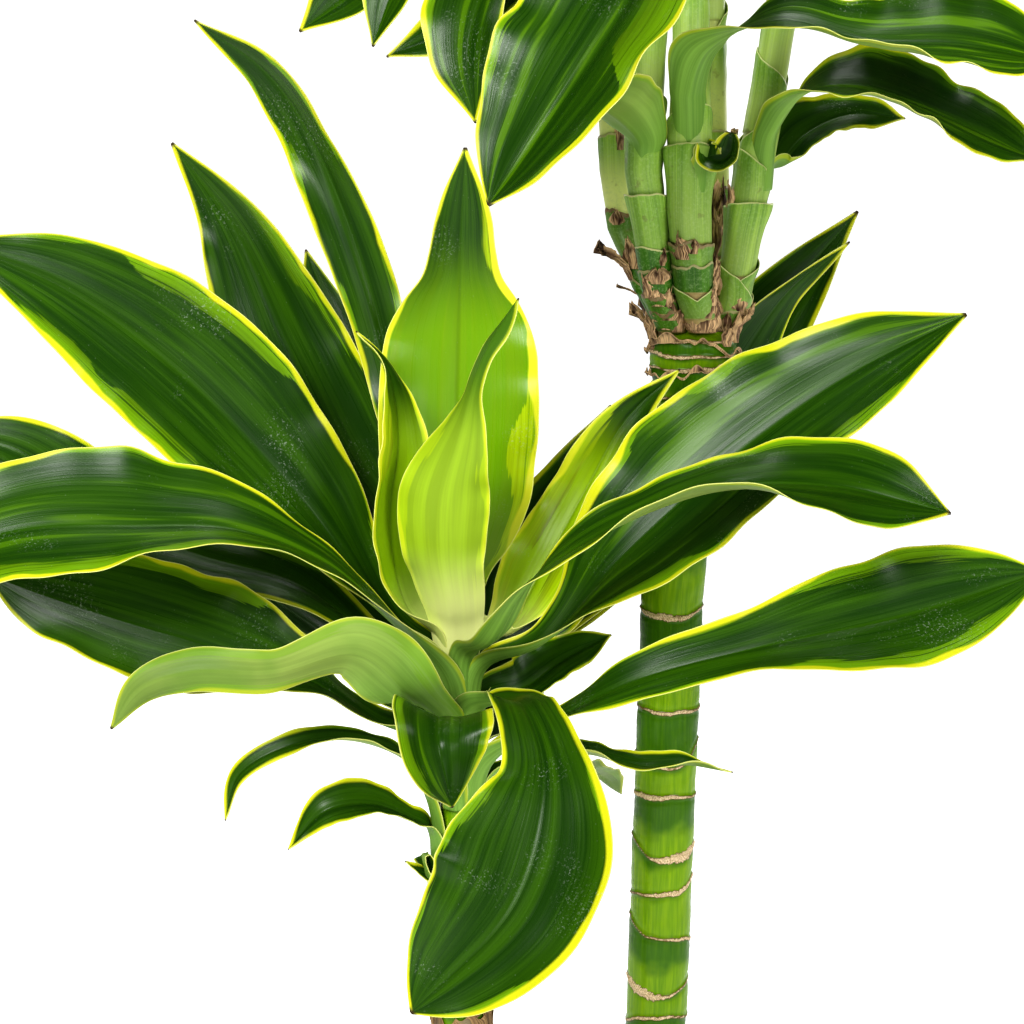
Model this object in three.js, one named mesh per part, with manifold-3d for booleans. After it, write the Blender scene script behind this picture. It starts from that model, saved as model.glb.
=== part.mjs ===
// A potted corn plant: two bare canes of different height in one pot. The short cane carries one
// big rosette of strap leaves; the tall cane carries five sheathed shoots, each with its own head.
// Millimetres, +Z up, +Y away from the viewer. The origin is the centre of the pot's underside.

import * as THREE from 'three';
import { mergeVertices } from 'three/addons/utils/BufferGeometryUtils.js';
import Module from 'manifold-3d';

const wasm = await Module();
wasm.setup();

// ---------------------------------------------------------------- driving dimensions (mm)

const POT_HEIGHT = 185;
const POT_RIM_RADIUS = 105;
const POT_FOOT_RADIUS = 75;
const POT_WALL = 3.5;
const POT_FLOOR = 5;
const POT_BAND = 24;              // height of the thicker band under the rim
const POT_BAND_STEP = 4;          // how far the band stands out from the wall
const POT_SIDES = 40;
const POT_SLOPE = 3;              // the band's underside slopes out over this height
const POT_EDGE = 2;               // bevel of the rim
const POT_FOOT_ROUND = 4;         // round of the foot's edge
const POT_FOOT_WALL = POT_FOOT_RADIUS + 0.7;   // radius of the wall just above that round

const SOIL_LEVEL = 170;           // soil height at the wall, a little under the rim
const SOIL_MOUND = 5;             // how much higher it stands round the canes
const SOIL_CRUMB = 1.6;           // unevenness of its surface
const SOIL_GAP = 0.6;             // clearance between the soil and the pot's wall
const CANE_GAP = 0.5;             // clearance between a cane and its hole in the soil

const CANE_FOOT = 62;             // the canes reach this deep into the soil
const SEAT_GAP = 0.3;             // clearance between pieces that touch

const CANE_SIDES = 12;
const SCAR_RIDGE = 0.9;           // a leaf scar: a ring that stands out this far
const SCAR_BELOW = 2.2;           // and rises and falls over these heights
const SCAR_ABOVE = 1.6;

// scars: [height, tilt] of each ring
const SHORT_CANE = {
  x: -48, y: -30,                 // where the rosette's stem stands
  lean: 3,                        // the foot stands this far to the right of it
  leanTop: 385, leanOver: 200,    // and the cane comes back over this stretch
  radius: 14,
  // the green stem above the bark gets thinner where the leaves start: [height, radius]
  taper: [[380, 14], [400, 12], [420, 10], [440, 9.5], [460, 8.8], [506, 4.4]],
  scars: [[200, 1.5], [232, -2], [262, 1], [292, 2], [318, -1.5], [340, 1.5], [358, 2]],
};

const TALL_CANE = {
  radius: 15.5,
  axis: [[62, 44, 35], [185, 44, 35], [313, 51, 35], [521, 57, 35], [620, 65, 35.5], [655, 67, 37]],
  top: 655, crownRadius: 21.5,    // it swells where the shoots come out
  crownFrom: 612, crownOver: 34,  // over this stretch
  scars: [[192, -1.5], [212, 2], [236, -1], [258, 2], [280, -2.5], [309, 1.5], [321, 0], [351, -4], [373, 4],
    [393, -3], [423, 0], [442, 4], [467, 0], [516, 1], [556, -2], [588, 1.5]],
};

const LEAF_THICKNESS = 0.8;
const SHEATH_HEIGHT = 22;         // the steep foot of a leaf that clasps the stem
const SHEATH_FLARE = 4.6;         // how far that foot leans out over its height
const LEAF_SEAT = 1.35;           // from the stem's skin to the middle of the leaf's foot

// ---------------------------------------------------------------- small helpers

const V = (x, y, z) => new THREE.Vector3(x, y, z);
const rad = THREE.MathUtils.degToRad;
const lerp = THREE.MathUtils.lerp;
const smooth = (t) => { const c = Math.min(1, Math.max(0, t)); return c * c * (3 - 2 * c); };

// value at x in a list of [x, value] pairs, straight between them
function along(table, x) {
  if (x <= table[0][0]) return table[0][1];
  for (let i = 1; i < table.length; i++) {
    const [x0, v0] = table[i - 1];
    const [x1, v1] = table[i];
    if (x <= x1) return lerp(v0, v1, (x - x0) / (x1 - x0));
  }
  return table[table.length - 1][1];
}

function geometryOf(points, triangles) {
  const geometry = new THREE.BufferGeometry();
  geometry.setAttribute('position', new THREE.Float32BufferAttribute(points.flat(), 3));
  geometry.setIndex(triangles.flat());
  return geometry;
}

// closed mesh -> solid that can be joined and cut, and back
function solid(geometry) {
  const bare = geometry.clone();
  bare.deleteAttribute('normal');
  bare.deleteAttribute('uv');
  const merged = mergeVertices(bare, 1e-4);
  return new wasm.Manifold(new wasm.Mesh({
    numProp: 3,
    vertProperties: new Float32Array(merged.attributes.position.array),
    triVerts: new Uint32Array(merged.index.array),
  }));
}

function fromSolid(body) {
  const mesh = body.getMesh();
  const geometry = new THREE.BufferGeometry();
  geometry.setAttribute('position', new THREE.BufferAttribute(new Float32Array(mesh.vertProperties), 3));
  geometry.setIndex(new THREE.BufferAttribute(new Uint32Array(mesh.triVerts), 1));
  return geometry;
}

// The outer body of a joined solid: a pocket that the joining sealed is filled.
function largest(body) {
  return body.decompose().sort((a, b) => b.volume() - a.volume())[0];
}

// ---------------------------------------------------------------- stems

// A round stem from rows of { x, y, z, r, tilt }: tilt raises the row's +X side.
function stem(rows, sides) {
  const points = [];
  const triangles = [];
  for (const { x, y, z, r, tilt = 0 } of rows) {
    for (let k = 0; k < sides; k++) {
      const a = (2 * Math.PI * k) / sides;
      points.push([x + r * Math.cos(a), y + r * Math.sin(a), z + tilt * Math.cos(a)]);
    }
  }
  for (let i = 0; i + 1 < rows.length; i++) {
    for (let k = 0; k < sides; k++) {
      const a = i * sides + k;
      const b = i * sides + ((k + 1) % sides);
      triangles.push([a, b, b + sides], [a, b + sides, a + sides]);
    }
  }
  const last = (rows.length - 1) * sides;
  for (const [start, turn] of [[0, -1], [last, 1]]) {
    const row = rows[start / sides];
    const hub = points.push([row.x, row.y, row.z]) - 1;
    for (let k = 0; k < sides; k++) {
      const a = start + k;
      const b = start + ((k + 1) % sides);
      triangles.push(turn > 0 ? [hub, a, b] : [hub, b, a]);
    }
  }
  return geometryOf(points, triangles);
}

// Leaf scars: each one is a low ridge round the cane, tilted a little.
function scarRows(scars, centre, radius) {
  const rows = [];
  for (const [z, tilt] of scars) {
    const [x, y] = centre(z);
    const r = radius(z);
    rows.push({ x, y, z: z - SCAR_BELOW, r, tilt });
    rows.push({ x, y, z, r: r + SCAR_RIDGE, tilt });
    rows.push({ x, y, z: z + SCAR_ABOVE, r, tilt });
  }
  return rows;
}

// where a bent stem's axis, a list of [height, x, y], stands at height z
function centreAt(axis, z) {
  return [along(axis.map(([h, x]) => [h, x]), z), along(axis.map(([h, , y]) => [h, y]), z)];
}

// A cane: plain in the soil, then ring over ring, then the rows of its upper end.
function cane(centre, radius, scars, upper) {
  const row = (z) => ({ x: centre(z)[0], y: centre(z)[1], z, r: radius(z) });
  const rows = [row(CANE_FOOT), row((CANE_FOOT + SOIL_LEVEL) / 2), ...scarRows(scars, centre, radius),
    ...upper.map(row)];
  return stem(rows, CANE_SIDES);
}

function shortCane() {
  const { x, y, lean, leanTop, leanOver, radius, taper, scars } = SHORT_CANE;
  const centre = (z) => [x + lean * smooth((leanTop - z) / leanOver), y];
  const size = (z) => (z < taper[0][0] ? radius : along(taper, z));
  return cane(centre, size, scars, taper.map(([z]) => z));
}

function tallCane() {
  const { axis, radius, top, crownRadius, crownFrom, crownOver, scars } = TALL_CANE;
  const size = (z) => lerp(radius, crownRadius, smooth((z - crownFrom) / crownOver));
  return cane((z) => centreAt(axis, z), size, scars, [crownFrom, crownFrom + crownOver / 2, top - 9, top]);
}

// ---------------------------------------------------------------- leaves

// share of the leaf's length -> share of its full width
const STRAP = [[0, 0.2], [0.1, 0.24], [0.22, 0.44], [0.38, 0.8], [0.54, 1], [0.66, 0.97], [0.78, 0.78],
  [0.88, 0.5], [0.95, 0.22], [1, 0.02]];
const WIDEST = 0.56;              // where the strap is widest
const OUTLINES = {
  necked: [[0, 0.2], [0.08, 0.3], [0.17, 0.6], [0.29, 0.92], [0.42, 1], [0.52, 1], [0.6, 0.96], [0.65, 0.88],
    [0.7, 0.72], [0.745, 0.52], [0.8, 0.42], [0.86, 0.36], [0.92, 0.24], [0.96, 0.13], [1, 0.02]],
  folded: [[0, 0.35], [0.06, 0.38], [0.21, 0.66], [0.3, 0.84], [0.39, 0.97], [0.46, 1], [0.54, 0.86],
    [0.65, 0.6], [0.76, 0.32], [0.83, 0.26], [0.92, 0.3], [0.97, 0.16], [1, 0.02]],
  even: [[0, 0.3], [0.12, 0.3], [0.25, 0.5], [0.38, 0.75], [0.55, 0.9], [0.7, 0.92], [0.8, 1], [0.86, 0.92],
    [0.91, 0.62], [0.95, 0.35], [1, 0.03]],
  late: [[0, 0.3], [0.12, 0.3], [0.3, 0.38], [0.42, 0.43], [0.52, 0.5], [0.6, 0.72], [0.67, 0.92], [0.75, 1],
    [0.82, 0.96], [0.9, 0.7], [0.96, 0.35], [1, 0.02]],
  blunt: [[0, 0.25], [0.12, 0.25], [0.28, 0.36], [0.4, 0.42], [0.5, 0.54], [0.57, 0.8], [0.64, 1], [0.72, 1],
    [0.8, 0.9], [0.87, 0.72], [0.93, 0.5], [0.97, 0.26], [1, 0.02]],
  curled: [[0, 0.2], [0.1, 0.32], [0.22, 0.7], [0.34, 1], [0.45, 0.9], [0.55, 0.7], [0.7, 0.58], [0.8, 0.55],
    [0.9, 0.42], [0.96, 0.2], [1, 0.03]],
};
const STEPS = 48;                 // rows along the leaf that its shape is worked out on
const ROWS = [0, 3, 8, 14, 20, 27, 34, 40, 45, 48];       // the ones that a big blade keeps
const SHAPED_ROWS = [0, 3, 8, 14, 20, 25, 29, 32, 35, 38, 42, 46, 48];    // a big one of uneven outline
const FEW_ROWS = [0, 5, 12, 20, 28, 36, 43, 48];          // and a small one

// The outline as one smooth curve: shape is an outline's name, or where a plain strap is widest.
function outlineAt(s, shape) {
  const strap = typeof shape === 'number';
  const power = strap ? Math.log(shape) / Math.log(WIDEST) : 1;
  const table = (strap ? STRAP : OUTLINES[shape]).map(([x, v]) => [x > 0 && x < 1 ? x ** power : x, v]);
  const slope = (i) => {
    const lo = Math.max(0, i - 1);
    const hi = Math.min(table.length - 1, i + 1);
    if (lo === i || hi === i) return (table[hi][1] - table[lo][1]) / (table[hi][0] - table[lo][0]);
    const before = table[i][0] - table[lo][0];
    const after = table[hi][0] - table[i][0];
    const rise0 = (table[i][1] - table[lo][1]) / before;
    const rise1 = (table[hi][1] - table[i][1]) / after;
    return (rise0 * after + rise1 * before) / (before + after);
  };
  let i = 0;
  while (i < table.length - 2 && s > table[i + 1][0]) i++;
  const h = table[i + 1][0] - table[i][0];
  const t = (s - table[i][0]) / h;
  return (2 * t ** 3 - 3 * t ** 2 + 1) * table[i][1] + (t ** 3 - 2 * t ** 2 + t) * h * slope(i)
    + (-2 * t ** 3 + 3 * t ** 2) * table[i + 1][1] + (t ** 3 - t ** 2) * h * slope(i + 1);
}

// The leaf's surface as a grid of points. Its midrib leaves the stem at `foot`, climbs as a steep
// sheath and then passes through the points `through`. Across, it is cupped and folded at the
// midrib; `roll` turns it about the midrib, by its first value from the middle on and by its
// second at the tip; `wave` = [height, count, phase] ripples the edges.
function leafGrid({ foot, stemRadius, through, heading, width, roll, wave, shape, columns }) {
  const first = through[0];
  const angle = heading ?? Math.atan2(first.y - foot.y, first.x - foot.x);
  const out = V(Math.cos(angle), Math.sin(angle), 0);
  const start = foot.clone().addScaledVector(out, stemRadius);
  const clasp = foot.clone().addScaledVector(out, stemRadius + SHEATH_FLARE).add(V(0, 0, SHEATH_HEIGHT));
  const curve = new THREE.CatmullRomCurve3([start, clasp, ...through], false, 'centripetal');
  const midrib = curve.getSpacedPoints(STEPS);
  const length = curve.getLength();

  const across = V(Math.sin(angle), -Math.cos(angle), 0);
  const footWidth = Math.min(outlineAt(0, shape) * width / 2, 0.95 * stemRadius);
  const footCup = Math.min(1.2, footWidth / stemRadius);
  const grid = [];
  for (let i = 0; i <= STEPS; i++) {
    const s = i / STEPS;
    const tangent = midrib[Math.min(STEPS, i + 1)].clone().sub(midrib[Math.max(0, i - 1)]).normalize();
    across.addScaledVector(tangent, -across.dot(tangent)).normalize();
    const face = across.clone().cross(tangent);
    const turn = rad(roll[0]) * smooth((s - 0.05) / 0.4) + rad(roll[1] - roll[0]) * smooth((s - 0.45) / 0.5);
    const side = across.clone().multiplyScalar(Math.cos(turn)).addScaledVector(face, -Math.sin(turn));
    const up = face.clone().multiplyScalar(Math.cos(turn)).addScaledVector(across, Math.sin(turn));
    const open = smooth((s * length) / 60);
    const full = outlineAt(s, shape) * width / 2;
    const half = full * (open + (1 - open) * Math.min(1, footWidth / (outlineAt(0, shape) * width / 2)));
    const cup = lerp(footCup, 0.35, smooth((s * length - SHEATH_HEIGHT * 0.8) / 60));
    const fold = 0.12 * smooth(s / 0.3);
    const ripple = wave[0] * smooth((s - 0.12) / 0.2) * smooth((1 - s) / 0.12);
    const row = [];
    for (let j = 0; j <= columns; j++) {
      const v = (2 * j) / columns - 1;
      const swing = Math.sin(2 * Math.PI * wave[1] * s + wave[2] + (v > 0 ? 0 : 1.9));
      const lift = half * (1 - Math.cos(cup * v)) / cup + fold * half * Math.abs(v)
        + ripple * Math.abs(v) ** 1.6 * swing;
      const aside = half * Math.sin(cup * v) / cup;
      row.push(midrib[i].clone().addScaledVector(side, aside).addScaledVector(up, lift));
    }
    grid.push(row);
  }
  return grid;
}

// A closed blade of even thickness round the kept rows of that grid. Both faces are split into
// triangles along the same diagonals.
function leaf(spec, rows = ROWS, columns = 4) {
  const grid = leafGrid({ ...spec, columns });
  const upper = [];
  const lower = [];
  rows.forEach((i) => {
    for (let j = 0; j <= columns; j++) {
      const ds = grid[Math.min(STEPS, i + 1)][j].clone().sub(grid[Math.max(0, i - 1)][j]);
      const dv = grid[i][Math.min(columns, j + 1)].clone().sub(grid[i][Math.max(0, j - 1)]);
      const normal = dv.cross(ds).normalize().multiplyScalar(LEAF_THICKNESS / 2);
      upper.push(grid[i][j].clone().add(normal).toArray());
      lower.push(grid[i][j].clone().sub(normal).toArray());
    }
  });
  const wide = columns + 1;
  const count = rows.length * wide;
  const triangles = [];
  for (let i = 0; i + 1 < rows.length; i++) {
    for (let j = 0; j < columns; j++) {
      const a = i * wide + j;
      const b = a + wide;
      triangles.push([a, a + 1, b + 1], [a, b + 1, b]);
      triangles.push([count + a, count + b + 1, count + a + 1], [count + a, count + b, count + b + 1]);
    }
  }
  const wall = (a, b) => triangles.push([a, count + a, count + b], [a, count + b, b]);
  for (let i = 0; i + 1 < rows.length; i++) {
    wall((i + 1) * wide, i * wide);
    wall(i * wide + columns, (i + 1) * wide + columns);
  }
  for (let j = 0; j < columns; j++) {
    wall(j, j + 1);
    wall(count - wide + j + 1, count - wide + j);
  }
  return geometryOf([...upper, ...lower], triangles);
}

// Points along an arching midrib that leaves at `rise0` degrees above level and ends at `rise1`.
function arch(from, heading, rise0, rise1, length) {
  const points = [];
  const pen = from.clone();
  const parts = 40;
  for (let i = 0; i < parts; i++) {
    const rise = rad(lerp(rise0, rise1, ((i + 0.5) / parts) ** 1.2));
    pen.add(V(Math.cos(rise) * Math.cos(heading), Math.cos(rise) * Math.sin(heading), Math.sin(rise))
      .multiplyScalar(length / parts));
    if ((i + 1) % 10 === 0) points.push(pen.clone());
  }
  return points;
}

// ---------------------------------------------------------------- the rosette on the short cane

// name: [height of its foot, width, [roll, roll at tip], [wave], outline, midrib points]
const ROSETTE = {
  leaf_left_broad: [482.5, 78, [-62, -70], [3, 2, 0], 0.55,
    [[-80, -27, 521], [-123, -8, 575], [-182, 3, 637], [-240, 5, 679], [-295, 5, 701]]],
  leaf_upper_left: [488.6, 60, [-38, -45], [4, 2.5, 1], 0.5,
    [[-60, -4, 536], [-103, 36, 586], [-135, 48, 647], [-162, 52, 707], [-191, 50, 747]]],
  leaf_tall_twisted: [497.2, 32, [-38, -70], [4, 2.5, 2], 'even',
    [[-60, -6, 550], [-79, 16, 623], [-94, 26, 681], [-119, 34, 745], [-142, 36, 780], [-177, 34, 806]]],
  leaf_behind_left: [477.5, 46, [-20, -20], [2, 2, 0], 0.6,
    [[-60, 34, 541], [-91, 78, 596], [-117, 99, 651], [-130, 110, 692]]],
  leaf_centre_tall: [508, 78, [0, 0], [3, 2.5, 0], 'necked',
    [[-51, -7, 548], [-50, 1, 615], [-48, 2, 677], [-45, -12, 745]]],
  leaf_centre_young: [498, 44, [4, -60], [2, 2, 0], 'folded',
    [[-53, -50, 528], [-57, -60, 555], [-56, -66, 585], [-46, -70, 618], [-36, -68, 650], [-20, -60, 677]]],
  leaf_left_young: [493.6, 38, [-55, -40], [3, 2, 0], 0.42,
    [[-73, -33, 530], [-80, -39, 572], [-76, -38, 610], [-81, -36, 642], [-96, -32, 660]]],
  leaf_right_young: [496.4, 38, [32, 60], [4, 2.5, 0], 0.45,
    [[-28, -14, 512], [-7, -2, 544], [12, 5, 578], [32, 6, 614], [58, 4, 639]]],
  leaf_right_shaded: [471, 62, [34, 34], [3, 2, 0], 0.5,
    [[-26, 12, 510], [-5, 34, 541], [14, 50, 579], [27, 60, 616]]],
  leaf_back_right_wide: [444, 64, [45, 50], [4, 2.5, 0], 0.55,
    [[1, 52, 518], [43, 82, 565], [90, 100, 630], [126, 104, 677], [155, 102, 712]]],
  leaf_back_right_slim: [457.5, 42, [60, 80], [5, 3, 1], 0.55,
    [[1, 36, 513], [47, 66, 564], [89, 84, 629], [119, 88, 672], [149, 85, 697]]],
  leaf_right_broad: [478, 80, [60, 65], [3, 2, 0], 0.55,
    [[-9, -41, 513], [28, -40, 553], [79, -38, 600], [135, -36, 640], [189, -35, 668]]],
  leaf_right_arching: [484.5, 58, [48, 90], [5, 2, 0], 'late',
    [[-32, -71, 520], [-15, -88, 550], [23, -96, 577], [71, -93, 594], [121, -85, 594], [177, -76, 580]]],
  leaf_right_low: [431, 62, [55, 65], [4, 2, 0], 'late',
    [[-3, -50, 478], [37, -60, 500], [92, -65, 516], [157, -62, 530], [223, -58, 550]]],
  leaf_front_big: [458, 76, [8, 20], [4, 1.5, 0], 'blunt',
    [[-26, -62, 489], [-17, -98, 494], [-9, -138, 470], [-22, -158, 422], [-67, -160, 372]]],
  leaf_front_small: [432, 40, [0, 0], [4, 1.5, 0], 0.45,
    [[-55, -66, 467], [-56, -88, 488], [-56, -105, 480], [-50, -106, 450]]],
  leaf_left_striped: [474, 74, [-55, -78], [4, 2, 0], 0.66,
    [[-75, -60, 524], [-109, -72, 557], [-149, -78, 573], [-192, -80, 575], [-247, -80, 573],
     [-320, -80, 550]]],
  leaf_left_low: [441, 70, [-48, -60], [5, 2.5, 0], 0.66,
    [[-86, -43, 476], [-118, -52, 498], [-162, -55, 514], [-208, -55, 528], [-269, -52, 548]]],
  leaf_left_thin: [444.4, 28, [-10, -10], [2, 2, 0], 0.55,
    [[-90, 0, 495], [-116, 26, 505], [-148, 42, 523], [-178, 50, 538]]],
  leaf_left_short: [456, 32, [-30, -30], [2, 2, 0], 0.55,
    [[-82, -6, 502], [-100, 12, 514], [-113, 18, 529], [-118, 20, 540]]],
  leaf_left_curled: [451.3, 36, [50, 70], [3, 2.5, 0], 'curled',
    [[-71, -77, 497], [-94, -95, 519], [-132, -100, 511], [-168, -100, 511], [-191, -98, 503],
     [-205, -95, 484]]],
  leaf_left_far: [468.5, 52, [-50, -60], [3, 2, 0], 0.6,
    [[-86, -20, 508], [-125, -10, 536], [-174, 0, 549], [-219, 5, 565], [-261, 5, 600], [-305, 5, 609]]],
  leaf_right_under: [462.5, 30, [40, 40], [2, 2, 0], 0.55,
    [[-17, -20, 488], [2, -17, 501], [25, -13, 512]]],
  leaf_right_thin: [423, 26, [10, 10], [3, 2.5, 0], 0.5,
    [[-19, -20, 449], [12, -40, 460], [38, -45, 455], [61, -45, 456], [82, -42, 451]]],
  leaf_lower_left: [415, 20, [-20, -70], [2, 2, 0], 'curled',
    [[-74, -40, 457], [-100, -45, 468], [-130, -50, 465], [-152, -50, 452], [-159, -48, 429]]],
  leaf_lowest_left: [402, 22, [-40, -60], [2, 2, 0], 0.55,
    [[-69, -42, 428], [-90, -50, 438], [-111, -55, 436], [-129, -52, 416]]],
  leaf_stub: [388, 12, [-30, -30], [1, 1, 0], 0.5,
    [[-61, -36, 395], [-73, -40, 404]]],
};

// The leaves at the back of the rosette: [height of foot, heading, rise at foot, rise at tip,
// length, width], headings in degrees from +X.
const ROSETTE_BACK = {
  leaf_behind_upper: [462, 90, 34, -8, 310, 70],
  leaf_behind_middle: [449.5, 106, 29, -22, 300, 60],
  leaf_behind_lower: [434, 121, 27, -30, 290, 60],
  leaf_behind_low: [423, 84, 18, -38, 250, 54],
  leaf_behind_lowest: [411, 62, 12, -35, 190, 40],
};

// how many rows and columns a leaf's solid keeps
function grain(width, shape) {
  if (width > 40 || shape === 'folded') return [typeof shape === 'string' ? SHAPED_ROWS : ROWS, 4];
  return [typeof shape === 'string' ? ROWS : FEW_ROWS, 2];
}

function rosetteLeaf([height, width, roll, wave, shape, points]) {
  return leaf({
    foot: V(SHORT_CANE.x, SHORT_CANE.y, height),
    stemRadius: along(SHORT_CANE.taper, height) + LEAF_SEAT,
    through: points.map((p) => V(...p)),
    width, roll, wave, shape,
  }, ...grain(width, shape));
}

function backLeaf([height, heading, rise0, rise1, length, width]) {
  const angle = rad(heading);
  const stemRadius = along(SHORT_CANE.taper, height) + LEAF_SEAT;
  const from = V(SHORT_CANE.x, SHORT_CANE.y, height + 14)
    .add(V(Math.cos(angle), Math.sin(angle), 0).multiplyScalar(stemRadius + 4));
  return leaf({
    foot: V(SHORT_CANE.x, SHORT_CANE.y, height), stemRadius, heading: angle,
    through: arch(from, angle, rise0, rise1, length - 20),
    width, roll: [0, 0], wave: [4, 2, heading % 6], shape: 0.56,
  });
}

// ---------------------------------------------------------------- the shoots on the tall cane

// Each shoot: its axis as [height, x, y], its radii as [height, radius], the middle heading and
// lowest height of the leaves that its head carries, and its own named leaves.
// A named leaf: [foot, width, [roll, roll at tip], [wave], outline, midrib points].
const SHOOTS = {
  shoot_left_back: {
    axis: [[655, 55, 44], [676, 44, 57], [704, 32, 66], [733, 28, 70], [808, 25, 70], [872, 24, 73]],
    radii: [[655, 6], [704, 6.5], [808, 6], [872, 3]],
    head: { heading: 148, spread: 28, from: 830 },
    leaves: [
      [[25, 70, 812], 62, [-30, -50], [3, 1.5, 0], 0.6,
        [[0, 40, 863], [-38, 20, 866], [-74, 8, 842], [-102, 0, 816], [-123, -5, 799]]],
    ],
  },
  shoot_left_front: {
    axis: [[655, 56, 29], [671, 49, 21], [705, 44, 14], [734, 40, 10], [805, 43, 10], [866, 43, 8]],
    radii: [[655, 7], [680, 8], [740, 8.5], [805, 7], [866, 3]],
    head: { heading: 212, spread: 17, from: 836 },
    leaves: [
      [[40, 10, 819], 48, [-30, -40], [3, 1.5, 0], 0.6,
        [[18, -5, 860], [-19, -20, 863], [-56, -30, 840], [-77, -34, 817], [-87, -36, 791]]],
      [[43, 10, 814], 44, [-30, -40], [3, 1.5, 0], 0.5,
        [[18, -20, 840], [-15, -40, 830], [-47, -50, 800], [-80, -52, 786]]],
      [[43, 10, 810], 58, [-5, -10], [3, 1.5, 0], 0.6,
        [[25, -22, 840], [-10, -46, 852], [-33, -74, 819], [-42, -84, 788], [-39, -86, 756]]],
      [[41, 12, 720], 46, [-10, -10], [3, 2, 0], 0.5,
        [[38, -2, 748], [20, -20, 763], [-1, -38, 767], [-19, -48, 758]]],
    ],
  },
  shoot_middle_front: {
    axis: [[655, 70, 24], [677, 65, 16], [715, 62, 8], [772, 62, 6], [814, 62, 8], [880, 62, 8]],
    radii: [[655, 7.5], [677, 9], [700, 10], [740, 10.5], [772, 9], [814, 7.5], [880, 3]],
    head: { heading: 284, spread: 24, from: 834 },
    leaves: [
      [[62, 8, 819], 92, [5, 10], [3, 1.5, 0], 'blunt',
        [[67, -35, 855], [57, -80, 860], [34, -118, 820], [0, -134, 768], [-33, -138, 721]]],
      [[62, 6, 744], 84, [75, 82], [4, 2, 0], 0.55,
        [[60, -8, 769], [67, -24, 790], [100, -38, 803], [140, -45, 793], [181, -48, 791], [226, -48, 783]]],
      [[63, 6, 725], 24, [0, 0], [1, 1, 0], 0.5,
        [[72, -8, 735], [79, -14, 735], [82, -12, 745]]],
    ],
  },
  shoot_middle_back: {
    axis: [[655, 69, 50], [680, 77, 60], [719, 79, 65], [798, 76, 66], [886, 77, 66]],
    radii: [[655, 6], [719, 6.5], [820, 6], [886, 3]],
    head: { heading: 76, spread: 20, from: 838 },
    leaves: [],
  },
  shoot_right: {
    axis: [[655, 80.5, 38.5], [671, 86, 38], [700, 90, 36], [729, 94, 34], [763, 100, 34], [806, 107, 36],
      [870, 111, 37]],
    radii: [[655, 7.5], [671, 8.5], [740, 9], [806, 7], [870, 3]],
    head: { heading: 4, spread: 28, from: 826 },
    leaves: [
      [[97, 34, 724], 60, [28, 62], [4, 2, 0], 0.6,
        [[103, 20, 749], [117, 8, 767], [140, 0, 770], [178, -5, 757], [227, -12, 733]]],
      [[94, 34, 712], 34, [20, 30], [3, 2, 0], 0.5,
        [[108, 50, 736], [122, 58, 751], [145, 62, 761], [173, 64, 759]]],
    ],
  },
};

// The head above the frame of leaves that are placed one by one: each next leaf stands higher,
// steeper and a little shorter, and takes the next of three headings inside the shoot's own sector.
const HEAD_LEAVES = 4;
const HEAD_STEP = 11;

function headLeaves({ axis, head }) {
  const specs = [];
  for (let i = 0; i < HEAD_LEAVES; i++) {
    const t = i / (HEAD_LEAVES - 1);
    const height = head.from + i * HEAD_STEP;
    const [x, y] = centreAt(axis, height);
    const angle = rad(head.heading + head.spread * [-1, 1, 0.4, -0.3][i]);
    const foot = V(x, y, height);
    const from = V(x + 6 * Math.cos(angle), y + 6 * Math.sin(angle), height + 12);
    specs.push({
      foot, stemRadius: 3.5, heading: angle,
      through: arch(from, angle, lerp(42, 80, t), lerp(-8, 58, t), lerp(290, 236, t) - 16),
      width: lerp(66, 50, t), roll: [0, 0], wave: [4, 2, 1.7 * i], shape: 0.56,
    });
  }
  return specs;
}

// The shoot's stem: sheath over sheath, each one ending in a small tilted step.
const SHEATH_EVERY = 30;
const SHEATH_STEP = 0.7;

function shootStem({ axis, radii }) {
  const bottom = axis[0][0] + SEAT_GAP;
  const top = axis[axis.length - 1][0];
  const row = (z, extra = 0, tilt = 0) => {
    const [x, y] = centreAt(axis, z);
    return { x, y, z, r: along(radii, z) + extra, tilt };
  };
  const rows = [row(bottom)];
  let side = 1;
  for (let z = bottom + SHEATH_EVERY * 0.7; z < top - 14; z += SHEATH_EVERY) {
    rows.push(row(z - 8), row(z, SHEATH_STEP, 2.5 * side), row(z + 2, -0.2, 2.5 * side));
    side = -side;
  }
  rows.push(row(top));
  return stem(rows, 8);
}

function shoot(spec) {
  let body = solid(shootStem(spec));
  for (const [foot, width, roll, wave, shape, points] of spec.leaves) {
    const through = points.map((p) => V(...p));
    const stemRadius = along(spec.radii, foot[2]) - 2;
    const rows = typeof shape === 'string' ? SHAPED_ROWS : ROWS;
    const one = { foot: V(...foot), stemRadius, through, width, roll, wave, shape };
    const blade = leaf(one, rows, width > 80 ? 4 : 2);
    body = body.add(solid(blade));
  }
  for (const one of headLeaves(spec)) body = body.add(solid(leaf(one, FEW_ROWS, 2)));
  return fromSolid(largest(body));
}

// ---------------------------------------------------------------- dry sheath remains

// name: [centre, inner radius, lower edge, upper edge, where the raggedness starts]
const COLLARS = {
  dry_sheath_ring: [[64.3, 35.45], 17.8, 601, 621, 1.3],
  dry_sheath_crown: [[66.6, 36.6], 22.4, 634, 654, 2.9],
};
const COLLAR_THICKNESS = 0.8;
const COLLAR_FLARE = 0.9;         // how far its upper edge curls away from the cane

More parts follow.
